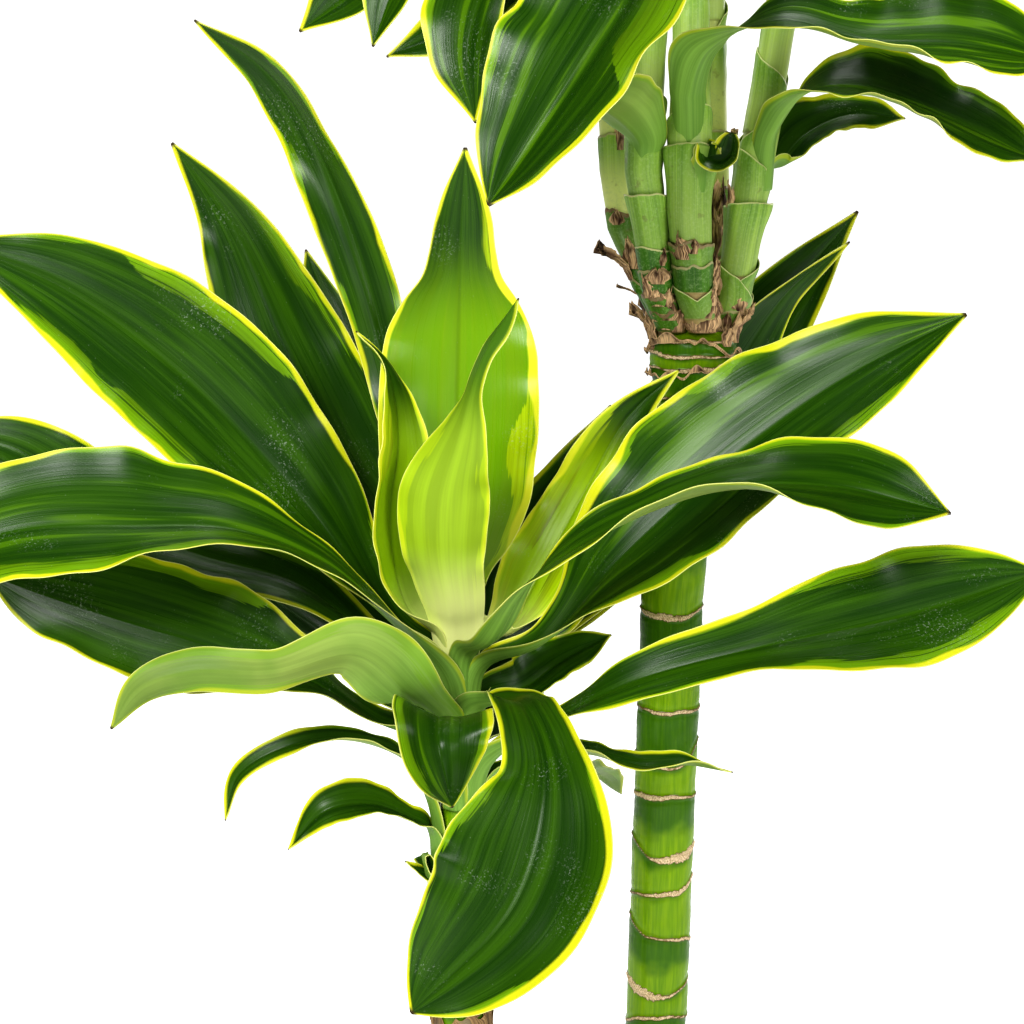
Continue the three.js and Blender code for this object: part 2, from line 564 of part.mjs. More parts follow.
// A torn papery collar round the cane: a thin band whose upper and lower edges are ragged.
function dryCollar([centre, inner, low, high, seed]) {
  const sides = 20;
  const outer = inner + COLLAR_THICKNESS;
  const ragged = (k, salt) => {
    const wave = Math.sin(k * 2.4 + seed + salt) * 0.6 + Math.sin(k * 5.3 + seed * 2 + salt) * 0.4;
    return 0.5 + 0.5 * wave;
  };
  const points = [];
  for (let k = 0; k < sides; k++) {
    const a = (2 * Math.PI * k) / sides;
    const zLow = low + 5 * ragged(k, 0);
    const zHigh = high - 6 * ragged(k, 4);
    const flare = COLLAR_FLARE * ragged(k, 2);
    for (const [r, z] of [[inner, zLow], [outer, zLow], [outer + flare, zHigh], [inner + flare, zHigh]]) {
      points.push([centre[0] + r * Math.cos(a), centre[1] + r * Math.sin(a), z]);
    }
  }
  const triangles = [];
  for (let k = 0; k < sides; k++) {
    const a = 4 * k;
    const b = 4 * ((k + 1) % sides);
    for (let e = 0; e < 4; e++) {
      const f = (e + 1) % 4;
      triangles.push([a + e, b + f, a + f], [a + e, b + e, b + f]);
    }
  }
  return geometryOf(points, triangles);
}

// ---------------------------------------------------------------- pot and soil

function potGeometry() {
  const band = POT_HEIGHT - POT_BAND;
  const wallTop = POT_RIM_RADIUS - POT_BAND_STEP;
  const profile = new THREE.Path();
  profile.moveTo(0, 0);
  profile.lineTo(POT_FOOT_RADIUS - POT_FOOT_ROUND, 0);
  profile.quadraticCurveTo(POT_FOOT_RADIUS, 0, POT_FOOT_WALL, POT_FOOT_ROUND);
  profile.lineTo(wallTop, band - POT_SLOPE);
  profile.lineTo(POT_RIM_RADIUS, band);
  profile.lineTo(POT_RIM_RADIUS, POT_HEIGHT - POT_EDGE);
  profile.lineTo(POT_RIM_RADIUS - POT_EDGE, POT_HEIGHT);
  profile.lineTo(wallTop - POT_WALL, POT_HEIGHT);
  profile.lineTo(wallTop - POT_WALL, band - POT_SLOPE);
  profile.lineTo(POT_FOOT_WALL - POT_WALL, POT_FLOOR);
  profile.lineTo(0, POT_FLOOR);
  const body = new THREE.LatheGeometry(profile.getPoints(2), POT_SIDES);
  body.rotateX(Math.PI / 2);
  return fromSolid(solid(body));
}

// radius of the pot's inside at height z
function potInside(z) {
  const band = POT_HEIGHT - POT_BAND - POT_SLOPE;
  const low = POT_FOOT_WALL - POT_WALL;
  const high = POT_RIM_RADIUS - POT_BAND_STEP - POT_WALL;
  return lerp(low, high, (z - POT_FLOOR) / (band - POT_FLOOR));
}

function soilGeometry() {
  const sides = POT_SIDES;
  const bottom = POT_FLOOR + SEAT_GAP;
  const wallLevel = POT_HEIGHT - POT_BAND - POT_SLOPE;
  const inside = (z) => potInside(z) - SOIL_GAP;
  const rings = [];
  const ring = (r, z, crumb) => rings.push(Array.from({ length: sides }, (_, k) => {
    const a = (2 * Math.PI * k) / sides;
    const lift = crumb * (Math.sin(3 * a + r * 0.7) + Math.sin(7 * a - r * 0.4)) / 2;
    return [r * Math.cos(a), r * Math.sin(a), z + lift];
  }));
  ring(inside(bottom), bottom, 0);
  ring(inside(wallLevel), wallLevel, 0);
  ring(inside(wallLevel), SOIL_LEVEL - 1, 0);
  for (const share of [0.86, 0.66, 0.44, 0.22]) {
    ring(share * potInside(wallLevel), SOIL_LEVEL + SOIL_MOUND * (1 - share), SOIL_CRUMB);
  }
  const points = rings.flat();
  const triangles = [];
  for (let i = 0; i + 1 < rings.length; i++) {
    for (let k = 0; k < sides; k++) {
      const a = i * sides + k;
      const b = i * sides + ((k + 1) % sides);
      triangles.push([a, b, b + sides], [a, b + sides, a + sides]);
    }
  }
  const under = points.push([0, 0, bottom]) - 1;
  const over = points.push([0, 0, SOIL_LEVEL + SOIL_MOUND]) - 1;
  const last = (rings.length - 1) * sides;
  for (let k = 0; k < sides; k++) {
    triangles.push([under, (k + 1) % sides, k], [over, last + k, last + ((k + 1) % sides)]);
  }
  let soil = solid(geometryOf(points, triangles));
  const holes = [
    [SHORT_CANE.x + SHORT_CANE.lean, SHORT_CANE.y, SHORT_CANE.radius],
    [TALL_CANE.axis[0][1], TALL_CANE.axis[0][2], TALL_CANE.radius],
  ];
  for (const [x, y, r] of holes) {
    const hole = new THREE.CylinderGeometry(r + CANE_GAP, r + CANE_GAP, 2 * POT_HEIGHT, 24);
    hole.rotateX(Math.PI / 2);
    hole.translate(x, y, CANE_FOOT - SEAT_GAP + POT_HEIGHT);
    soil = soil.subtract(solid(hole));
  }
  return fromSolid(soil);
}

// ---------------------------------------------------------------- the plant

const MATERIALS = {
  pot: { color: 0x3b3d3f, roughness: 0.6 },
  soil: { color: 0x2c2119, roughness: 1 },
  cane: { color: 0x5f8f2a, roughness: 0.4 },
  dry: { color: 0xa98058, roughness: 0.9 },
  shoot: { color: 0x6a9636, roughness: 0.45 },
  leaf: { color: 0x1f5a1c, roughness: 0.32 },
  young: { color: 0x7fb02a, roughness: 0.32 },
};

const plant = new THREE.Group();

function place(name, geometry, look) {
  const mesh = new THREE.Mesh(geometry, new THREE.MeshStandardMaterial({
    ...MATERIALS[look], metalness: 0, flatShading: true,
  }));
  mesh.name = name;
  plant.add(mesh);
}

place('pot', potGeometry(), 'pot');
place('soil', soilGeometry(), 'soil');
place('short_cane', shortCane(), 'cane');
place('tall_cane', tallCane(), 'cane');
for (const [name, spec] of Object.entries(COLLARS)) place(name, dryCollar(spec), 'dry');
for (const [name, spec] of Object.entries(SHOOTS)) place(name, shoot(spec), 'shoot');
for (const [name, spec] of Object.entries(ROSETTE)) {
  place(name, rosetteLeaf(spec), /young|centre/.test(name) ? 'young' : 'leaf');
}
for (const [name, spec] of Object.entries(ROSETTE_BACK)) place(name, backLeaf(spec), 'leaf');

export default plant;
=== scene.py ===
# %% [markdown]
# # A potted corn plant
# Two bare canes stand in one pot. The short one carries a rosette of long striped leaves, and the tall one
# carries five shoots wrapped in sheaths, each with its own head of leaves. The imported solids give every
# size and place. This script dresses them: each leaf, shoot and cane gets a finer mesh on the same lines,
# and each finish is built from shader nodes.

# %% Load the fixed frame
import math
from collections import namedtuple
from types import SimpleNamespace

import bpy
import numpy as np
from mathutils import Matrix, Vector


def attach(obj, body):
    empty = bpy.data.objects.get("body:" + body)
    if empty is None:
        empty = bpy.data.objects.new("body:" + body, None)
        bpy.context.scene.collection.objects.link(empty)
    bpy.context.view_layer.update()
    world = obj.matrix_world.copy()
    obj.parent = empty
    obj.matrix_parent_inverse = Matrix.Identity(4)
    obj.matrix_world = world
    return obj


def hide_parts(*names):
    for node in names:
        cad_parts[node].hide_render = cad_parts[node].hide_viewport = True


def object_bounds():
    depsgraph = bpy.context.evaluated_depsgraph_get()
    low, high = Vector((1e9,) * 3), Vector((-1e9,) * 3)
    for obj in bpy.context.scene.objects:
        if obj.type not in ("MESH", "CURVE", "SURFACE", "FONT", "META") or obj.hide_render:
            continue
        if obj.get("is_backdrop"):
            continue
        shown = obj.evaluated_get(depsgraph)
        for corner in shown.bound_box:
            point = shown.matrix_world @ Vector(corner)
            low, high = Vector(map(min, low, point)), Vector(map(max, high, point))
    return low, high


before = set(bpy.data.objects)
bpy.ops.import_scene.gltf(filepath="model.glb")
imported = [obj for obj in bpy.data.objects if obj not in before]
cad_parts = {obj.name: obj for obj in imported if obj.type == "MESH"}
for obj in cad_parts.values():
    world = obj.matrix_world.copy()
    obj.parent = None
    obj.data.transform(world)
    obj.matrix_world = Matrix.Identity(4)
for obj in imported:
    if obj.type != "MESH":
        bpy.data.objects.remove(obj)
cad_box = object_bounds()
MM = 0.001  # the tables below are in millimetres, Blender works in metres
print("the frame holds", len(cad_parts), "nodes")
print("its box, in metres:", [tuple(round(c, 3) for c in corner) for corner in cad_box])

# %% [markdown]
# ## Wiring shader nodes
# A procedural finish is a small network of nodes. Setting each node up by hand takes many lines, so a helper
# puts a node in, feeds its sockets with numbers or with other nodes' outputs, and gives back its output.
# An effect that several finishes share becomes a node group with named sockets, built once. A socket whose
# name ends in *colour* or *position* carries that, and any other carries a number.


# %% A helper that wires nodes
class Wiring:
    """Puts nodes into one node tree. Each call gives back the new node's output socket."""

    def __init__(self, tree):
        self.tree = tree

    def feed(self, socket, value):
        if isinstance(value, bpy.types.NodeSocket):
            self.tree.links.new(value, socket)
        elif value is not None:
            socket.default_value = (*value, 1) if socket.type == "RGBA" else value

    def put(self, kind, *values, out=0, **settings):
        node = self.tree.nodes.new(kind)
        for name, value in settings.items():
            setattr(node, name, value)
        for socket, value in zip(node.inputs, values):
            self.feed(socket, value)
        return node.outputs[out]

    def math(self, operation, *values, clamp=False):
        return self.put("ShaderNodeMath", *values, operation=operation, use_clamp=clamp)

    def times(self, first, second):
        return self.math("MULTIPLY", first, second)

    def plus(self, first, second, clamp=False):
        return self.math("ADD", first, second, clamp=clamp)

    def minus(self, first, second):
        return self.math("SUBTRACT", first, second)

    def between(self, value, low, high, to_low=0.0, to_high=1.0):
        """A smooth step: to_low below low, to_high above high."""
        ends = (low, high, to_low, to_high)
        return self.put("ShaderNodeMapRange", value, *ends, interpolation_type="SMOOTHSTEP")

    def mix(self, share, first, second):
        """Two colours: the first where the share is 0, the second where it is 1."""
        node = self.tree.nodes.new("ShaderNodeMix")
        node.data_type = "RGBA"
        for index, value in ((0, share), (6, first), (7, second)):
            self.feed(node.inputs[index], value)
        return node.outputs[2]

    def noise(self, place, scale=1.0, detail=2.0, roughness=0.5):
        return self.put("ShaderNodeTexNoise", place, None, scale, detail, roughness)

    def streaks(self, across, along, shift, scales, detail=2.0, roughness=0.5):
        """Noise drawn out along the veins: scales holds how fast it changes across and along them."""
        across, along = self.times(across, scales[0]), self.times(along, scales[1])
        return self.noise(self.put("ShaderNodeCombineXYZ", across, along, shift), 1.0, detail, roughness)

    def position(self):
        return self.put("ShaderNodeNewGeometry")

    def attribute(self, name):
        """Reads a set of three values that the mesh carries at each vertex."""
        return self.put("ShaderNodeAttribute", out=1, attribute_name=name)

    def three(self, name):
        """The same set as three outputs."""
        node = self.put("ShaderNodeSeparateXYZ", self.attribute(name)).node
        return tuple(node.outputs)

    def group(self, group, **values):
        """Puts in a node group and gives back its outputs by name."""
        node = self.tree.nodes.new("ShaderNodeGroup")
        node.node_tree = group
        for name, value in values.items():
            self.feed(node.inputs[label(name)], value)
        return node.outputs


# %% Helpers for groups, materials and tones
def label(name):
    return name.replace("_", " ").capitalize()


def node_group(*names):
    """Turns a function of the wiring and the named inputs into a node group with its results as outputs."""
    def make(wire):
        group = bpy.data.node_groups.new(wire.__name__, "ShaderNodeTree")
        kinds = {"colour": "NodeSocketColor", "position": "NodeSocketVector"}

        def add_socket(name, in_out):
            kind = kinds.get(name.split("_")[-1], "NodeSocketFloat")
            group.interface.new_socket(name=label(name), in_out=in_out, socket_type=kind)

        for name in names:
            add_socket(name, "INPUT")
        results = wire(Wiring(group), *group.nodes.new("NodeGroupInput").outputs[:len(names)])
        for name in results:
            add_socket(name, "OUTPUT")
        end = group.nodes.new("NodeGroupOutput").inputs
        for name, result in results.items():
            group.links.new(result, end[label(name)])
        return group
    return make


def new_material(name, roughness, gloss):
    """A material with a plain Principled shader, and its wiring."""
    paint = bpy.data.materials.new(name)
    paint.use_nodes = True
    shader = paint.node_tree.nodes["Principled BSDF"].inputs
    shader["Roughness"].default_value = roughness
    shader["Specular IOR Level"].default_value = gloss
    return paint, Wiring(paint.node_tree)


def finish(paint, w, colour, roughness, bump, height):
    """Feeds a material's shader. bump holds the strength and, in metres, the depth of the height."""
    shader = paint.node_tree.nodes["Principled BSDF"].inputs
    w.feed(shader["Base Color"], colour)
    w.feed(shader["Roughness"], roughness)
    w.feed(shader["Normal"], w.put("ShaderNodeBump", *bump, None, height))
    return paint


def darker(colour, share):
    return tuple(share * c for c in colour)


# %% [markdown]
# ## Camera, light and floor
# A product picture of a plant is taken from a little above with a long lens, so that the leaves keep their
# proportions. The lens and the distance below give the photograph's perspective. The light is a studio's:
# a white surround, one big soft lamp from the upper left, a weaker one from the right, one from above, and
# two from behind that light the leaves' edges. The surround is bright only where it is seen directly. In the
# leaves' gloss it is dim, as it is behind the black flags of a studio, or it would lay a grey veil over the
# dark greens.

# %% Camera
LENS_MM, SENSOR_MM = 94.35, 36
CAMERA_DISTANCE = 1.3
CAMERA_RISE = math.radians(8)
LOOK_AT = Vector((-0.023, 0.0, 0.570))

camera = bpy.data.objects.new("camera", bpy.data.cameras.new("camera"))
camera.data.lens = LENS_MM
camera.data.sensor_width = SENSOR_MM
camera.location = LOOK_AT + CAMERA_DISTANCE * Vector((0, -math.cos(CAMERA_RISE), math.sin(CAMERA_RISE)))
camera.rotation_euler = (math.pi / 2 - CAMERA_RISE, 0, 0)
bpy.context.scene.collection.objects.link(camera)
bpy.context.scene.camera = camera
bpy.context.scene.view_settings.view_transform = "Standard"
bpy.context.scene.view_settings.look = "Medium High Contrast"
print("camera at", tuple(round(c, 3) for c in camera.location))

# %% Lamps
# name: place in metres, size of the soft box in metres, power in watts
LAMPS = {
    "key_light": ((-0.9, -1.9, 1.8), 0.8, 50),
    "fill_light": ((1.4, -1.7, 1.3), 0.9, 20),
    "top_light": ((0.1, 0.3, 2.5), 0.9, 26),
    "back_left_light": ((-1.6, 1.5, 1.2), 0.8, 7),
    "back_right_light": ((1.6, 1.5, 1.2), 0.8, 11),
}
PLANT_MIDDLE = Vector((0, 0, 0.6))

for name, (place, size, power) in LAMPS.items():
    light = bpy.data.objects.new(name, bpy.data.lights.new(name, "AREA"))
    light.data.size = size
    light.data.energy = power
    light.location = place
    light.rotation_euler = (PLANT_MIDDLE - Vector(place)).to_track_quat("-Z", "Y").to_euler()
    bpy.context.scene.collection.objects.link(light)
print("lamps:", ", ".join(LAMPS))


# %% White surround
WHITE = (1, 1, 1)
SEEN, AMBIENT, IN_GLOSS = 1.05, 0.24, 0.02


def white_surround():
    world = bpy.data.worlds.new("white_surround")
    bpy.context.scene.world = world
    world.use_nodes = True
    world.node_tree.nodes.clear()
    w = Wiring(world.node_tree)
    seen, ambient, gloss = (w.put("ShaderNodeBackground", WHITE, s) for s in (SEEN, AMBIENT, IN_GLOSS))
    glossy = w.put("ShaderNodeLightPath", out="Is Glossy Ray")
    direct = w.put("ShaderNodeLightPath", out="Is Camera Ray")
    light = w.put("ShaderNodeMixShader", direct, w.put("ShaderNodeMixShader", glossy, ambient, gloss), seen)
    w.feed(w.tree.nodes.new("ShaderNodeOutputWorld").inputs[0], light)


white_surround()

# %% Pale floor
FLOOR_HALF, FLOOR_DEPTH = 30, 0.0005
GLOW, GLOW_SEEN = 0.12, 0.75


def pale_floor():
    mesh = bpy.data.meshes.new("pale_floor")
    corners = [(x * FLOOR_HALF, y * FLOOR_HALF, 0) for x, y in ((-1, -1), (1, -1), (1, 1), (-1, 1))]
    mesh.from_pydata(corners, [], [(0, 1, 2, 3)])
    floor = bpy.data.objects.new("pale_floor", mesh)
    floor.location.z = -FLOOR_DEPTH
    bpy.context.scene.collection.objects.link(floor)
    paint, w = new_material("pale_floor", roughness=0.9, gloss=0.1)
    shader = paint.node_tree.nodes["Principled BSDF"].inputs
    w.feed(shader["Base Color"], (0.93, 0.93, 0.93))
    w.feed(shader["Emission Color"], WHITE)
    direct = w.put("ShaderNodeLightPath", out="Is Camera Ray")
    w.feed(shader["Emission Strength"], w.put("ShaderNodeMapRange", direct, 0, 1, GLOW, GLOW_SEEN))
    mesh.materials.append(paint)
    floor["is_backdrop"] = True


pale_floor()

# %% [markdown]
# ## What every mesh tells its material
# A leaf's stripes follow its veins, wherever the leaf bends. So each vertex carries where it lies on its
# own leaf, in millimetres: how far across, how far along and how far from the margin. The materials read
# these three numbers, called *place*, instead of the position in space. A second set, *trait*, holds
# the width of the lime band on that side, a number that makes each leaf's pattern its own, and which face
# it is, 0 for the upper one and 1 for the underside. A third, *look*, holds the share of the leaf's length,
# how strong its pale streaks are, and how young it is.


# %% Shader group: parallel veins
@node_group("across", "along", "seed", "spacing")
def parallel_veins(w, across, along, seed, spacing):
    shift = w.times(seed, 17.3)
    fine = w.streaks(w.math("DIVIDE", across, spacing), along, shift, (1.0, 0.012), 3.0)
    broad = w.streaks(across, along, shift, (0.16, 0.010))
    midrib = w.between(w.math("ABSOLUTE", across), 0.2, 1.9, 1.0, 0.0)
    height = w.minus(w.plus(w.times(fine, 0.7), w.times(broad, 1.6)), w.times(midrib, 0.5))
    return dict(height=height, fine_streaks=fine, broad_streaks=broad, midrib=midrib)


# %% [markdown]
# ## The striped margin
# The leaf is dark in the middle and has a bright yellow edge a few millimetres wide. Between the two lies a
# lime band, whose inner border is torn into long streaks along the veins. The group measures how far a point
# is from the margin and compares that with a width that noise changes: slowly along the leaf, and quickly
# across it, which draws the streaks.


# %% Shader group: variegation
@node_group("across", "along", "edge", "lime_width", "seed", "margin_width")
def variegation(w, across, along, edge, lime_width, seed, margin_width):
    shift = w.plus(w.times(seed, 31.7), w.times(w.math("SIGN", across), 4.1))
    slow = w.noise(w.put("ShaderNodeCombineXYZ", w.times(along, 0.016), shift), 1.0, 1.0)
    torn = w.streaks(across, along, shift, (0.62, 0.011), 2.5, 0.6)
    reach = w.times(lime_width, w.between(slow, 0.36, 0.64, 0.2, 1.35))
    reach = w.plus(reach, w.times(w.minus(torn, 0.5), 8.0))
    lime_mask = w.between(w.minus(reach, edge), -0.35, 0.45)
    dark_streak = w.between(w.streaks(across, along, w.plus(shift, 9.0), (0.9, 0.009)), 0.60, 0.64)
    lime_mask = w.times(lime_mask, w.minus(1.0, w.times(dark_streak, 0.8)))
    thin = w.noise(w.put("ShaderNodeCombineXYZ", w.times(along, 0.017), w.plus(shift, 2.0)), 1.0, 2.5)
    band = w.times(margin_width, w.between(thin, 0.38, 0.64, 0.25, 2.1))
    band = w.times(band, w.between(lime_width, 0.0, 12.0, 0.5, 1.5))
    margin_mask = w.between(w.minus(band, edge), -1.1, 0.5)
    return dict(lime_mask=lime_mask, margin_mask=margin_mask, line_mask=w.between(edge, 0.15, 0.5, 1.0, 0.0))


# %% Shader group: dust specks
@node_group("position", "amount")
def dust_specks(w, position, amount):
    clump = w.between(w.noise(position, 26.0), 0.56, 0.70)
    grit = w.between(w.noise(position, 900.0, 2.0, 0.7), 0.55, 0.74)
    lone = w.between(w.put("ShaderNodeTexVoronoi", position, None, 240.0), 0.04, 0.09, 1.0, 0.0)
    dust = w.plus(w.times(clump, grit), w.times(lone, 0.25), clamp=True)
    return dict(mask=w.times(dust, amount))


# %% Shader group: dry fibres
@node_group("across", "along", "seed", "dark_colour", "light_colour", "stain_colour")
def dry_fibres(w, across, along, seed, dark_colour, light_colour, stain_colour):
    threads = w.streaks(across, along, seed, (1.5, 0.06), 3.0, 0.6)
    blotch = w.streaks(across, along, seed, (0.15, 0.07))
    tone = w.plus(w.times(threads, 0.6), w.times(blotch, 0.4))
    colour = w.mix(w.between(tone, 0.40, 0.60), dark_colour, light_colour)
    stain = w.streaks(across, along, w.plus(seed, 5.0), (0.13, 0.06))
    return dict(colour=w.mix(w.between(stain, 0.52, 0.66), colour, stain_colour), height=threads)


print("shader groups:", ", ".join(g.name for g in bpy.data.node_groups))

# %% [markdown]
# ## The leaf's finish
# The upper face is deep green with a waxy shine, streaked along the veins; the underside is paler, greyer
# and duller. Young leaves are lime all over and cream where they leave the stem. One function makes all
# these finishes, because they differ only in their greens: it lays centre, lime band, yellow margin and the
# thin pale line on top of each other, then the dark tip and the dust.

# %% Colours of a leaf
GREEN_DARK, GREEN_LIGHT = (0.010, 0.044, 0.001), (0.034, 0.102, 0.001)
FRESH_GREEN, FRESH_LIME = (0.085, 0.25, 0.002), (0.40, 0.60, 0.003)
CREAM, PALE_LINE = (0.95, 0.97, 0.40), (0.93, 0.92, 0.50)
PETIOLE_DARK, PETIOLE_LIGHT = (0.125, 0.265, 0.035), (0.23, 0.42, 0.065)
CLOUD, TIP_GREEN, RIPE_GREEN = (0.105, 0.205, 0.020), (0.060, 0.15, 0.012), (0.045, 0.135, 0.004)
DEAD_TIP, DUST = (0.05, 0.035, 0.012), (0.50, 0.55, 0.48)
RIPENS = (0.62, 0.84)  # the shares of its length between which a young leaf turns dark


# %% Material: a leaf's upper face
def upper_face(w, at, tone, lime, margin):
    """Centre, lime band and margin. A young leaf starts from its fresh greens and ripens to the tip."""
    colour = w.mix(tone, GREEN_DARK, GREEN_LIGHT)
    if at.fresh:
        green = w.mix(at.young, FRESH_GREEN, FRESH_LIME)
        green = w.mix(w.times(tone, 0.35), green, darker(FRESH_LIME, 0.55))
        colour = w.mix(w.between(at.share, *RIPENS), green, colour)
    pale_streak = w.times(w.between(at.veins["Broad streaks"], 0.56, 0.64), at.streaks)
    colour = w.mix(pale_streak, colour, lime)
    colour = w.mix(w.times(at.veins["Midrib"], 0.3), colour, GREEN_LIGHT)
    fade = w.between(w.math("DIVIDE", at.edge, w.plus(at.lime_width, 1.0)), 0.25, 1.5, 0.0, 0.8)
    fade = w.plus(fade, w.between(at.veins["Fine streaks"], 0.66, 0.34, 0.0, 0.25), clamp=True)
    colour = w.mix(at.stripes["Lime mask"], colour, w.mix(fade, lime, darker(lime, 0.32)))
    colour = w.mix(at.stripes["Margin mask"], colour, margin)
    return w.mix(at.base, colour, CREAM)


# %% Material: a leaf's underside
def underside(w, at, tone, lime, margin, under):
    """Grey green with paler veins, yellow green on a mature leaf's stalk and darker towards the tip."""
    colour = w.mix(tone, darker(under, 0.72), under)
    clouded = w.between(w.noise(w.position(), 22.0, 3.0, 0.6), 0.42, 0.68, 0.0, 0.0 if at.fresh else 0.5)
    colour = w.mix(clouded, colour, CLOUD)
    if not at.fresh:
        petiole = w.mix(tone, PETIOLE_DARK, PETIOLE_LIGHT)
        colour = w.mix(w.between(at.share, 0.20, 0.62, 0.9, 0.0), colour, petiole)
    colour = w.mix(w.between(at.share, 0.35, 1.0, 0.0, 0.5), colour, TIP_GREEN)
    if at.fresh:
        colour = w.mix(w.times(w.between(at.share, *RIPENS), 0.9), colour, RIPE_GREEN)
    colour = w.mix(w.times(at.stripes["Lime mask"], 0.45), colour, lime)
    colour = w.mix(w.times(at.stripes["Margin mask"], 0.45), colour, margin)
    return w.mix(w.times(at.base, 0.8), colour, CREAM)


# %% Material: a leaf
def leaf_material(name, lime, margin, under, fresh):
    """A fresh leaf runs from fresh green to lime, and is dark at the tip."""
    paint, w = new_material(name, roughness=0.3, gloss=0.20)
    across, along, edge = w.three("place")
    lime_width, seed, side = w.three("trait")
    share, streaks, young = w.three("look")
    veins = w.group(parallel_veins, across=across, along=along, seed=seed, spacing=0.9)
    stripes = w.group(variegation, across=across, along=along, edge=edge, lime_width=lime_width, seed=seed,
                      margin_width=1.5)
    base = w.times(w.between(share, 0.10, 0.36, 1.0, 0.0), young)
    at = SimpleNamespace(edge=edge, lime_width=lime_width, share=share, streaks=streaks, young=young,
                         veins=veins, stripes=stripes, base=base, fresh=fresh)
    tone = w.plus(w.times(veins["Fine streaks"], 0.3), w.times(veins["Broad streaks"], 0.9))
    tone = w.between(tone, 0.42, 0.84)
    colour = w.mix(side, upper_face(w, at, tone, lime, margin), underside(w, at, tone, lime, margin, under))
    colour = w.mix(w.times(stripes["Line mask"], 0.35), colour, PALE_LINE)
    colour = w.mix(w.between(share, 0.990, 0.998), colour, DEAD_TIP)
    dust = w.times(w.group(dust_specks, position=w.position(), amount=0.34)["Mask"], w.minus(1.0, side))
    wax = w.plus(w.between(veins["Fine streaks"], 0.3, 0.7, 0.27, 0.35), w.times(side, 0.16))
    roughness = w.plus(wax, w.times(dust, 0.3), clamp=True)
    return finish(paint, w, w.mix(dust, colour, DUST), roughness, (0.4, 0.0003), veins["Height"])


LIME, YELLOW, UNDERSIDE = (0.16, 0.33, 0.002), (0.60, 0.61, 0.012), (0.28, 0.375, 0.075)
YOUNG_LIME, YOUNG_YELLOW, YOUNG_UNDERSIDE = (0.46, 0.64, 0.004), (0.80, 0.82, 0.03), (0.34, 0.52, 0.020)
mature_leaf = leaf_material("mature_leaf", LIME, YELLOW, UNDERSIDE, fresh=False)
young_leaf = leaf_material("young_leaf", YOUNG_LIME, YOUNG_YELLOW, YOUNG_UNDERSIDE, fresh=True)
print("leaf finishes:", mature_leaf.name, young_leaf.name)

# %% [markdown]
# ## The shape of a leaf
# A strap leaf could be modelled flat and bent with a curve modifier. Here it is computed, because the packed
# solids are made by the same rule and both then agree. A smooth curve through a few points is the midrib.
# At each step along it the blade has a width, a cup, a turn about the midrib and a ripple at its edges.
# The finer mesh adds to the solid's shape: a groove along the midrib, shallow pleats, small ripples of
# the margin, a thinning edge and a drawn-out tip.


# %% The midrib: a smooth curve in equal steps
def smooth(t):
    t = np.clip(t, 0, 1)
    return t * t * (3 - 2 * t)


def spaced_curve(points, steps):
    """A centripetal Catmull-Rom curve through the points, as steps + 1 points at equal distances."""
    p = np.asarray(points, float)
    p = np.vstack([2 * p[0] - p[1], p, 2 * p[-1] - p[-2]])
    t = np.linspace(0, 1, 24, endpoint=False)[:, None]
    drawn = []
    for a, b, c, d in zip(p, p[1:], p[2:], p[3:]):
        i, j, k = (max(np.linalg.norm(gap) ** 0.5, 1e-4) for gap in (b - a, c - b, d - c))
        leave = ((b - a) / i - (c - a) / (i + j) + (c - b) / j) * j
        reach = ((c - b) / j - (d - b) / (j + k) + (d - c) / k) * j
        bent = (3 * (c - b) - 2 * leave - reach) * t**2 + (2 * (b - c) + leave + reach) * t**3
        drawn.append(b + leave * t + bent)
    drawn = np.vstack(drawn + [p[-2][None]])
    far = np.concatenate([[0], np.cumsum(np.linalg.norm(np.diff(drawn, axis=0), axis=1))])
    even = np.linspace(0, far[-1], steps + 1)
    return np.stack([np.interp(even, far, drawn[:, k]) for k in range(3)], 1), far[-1]


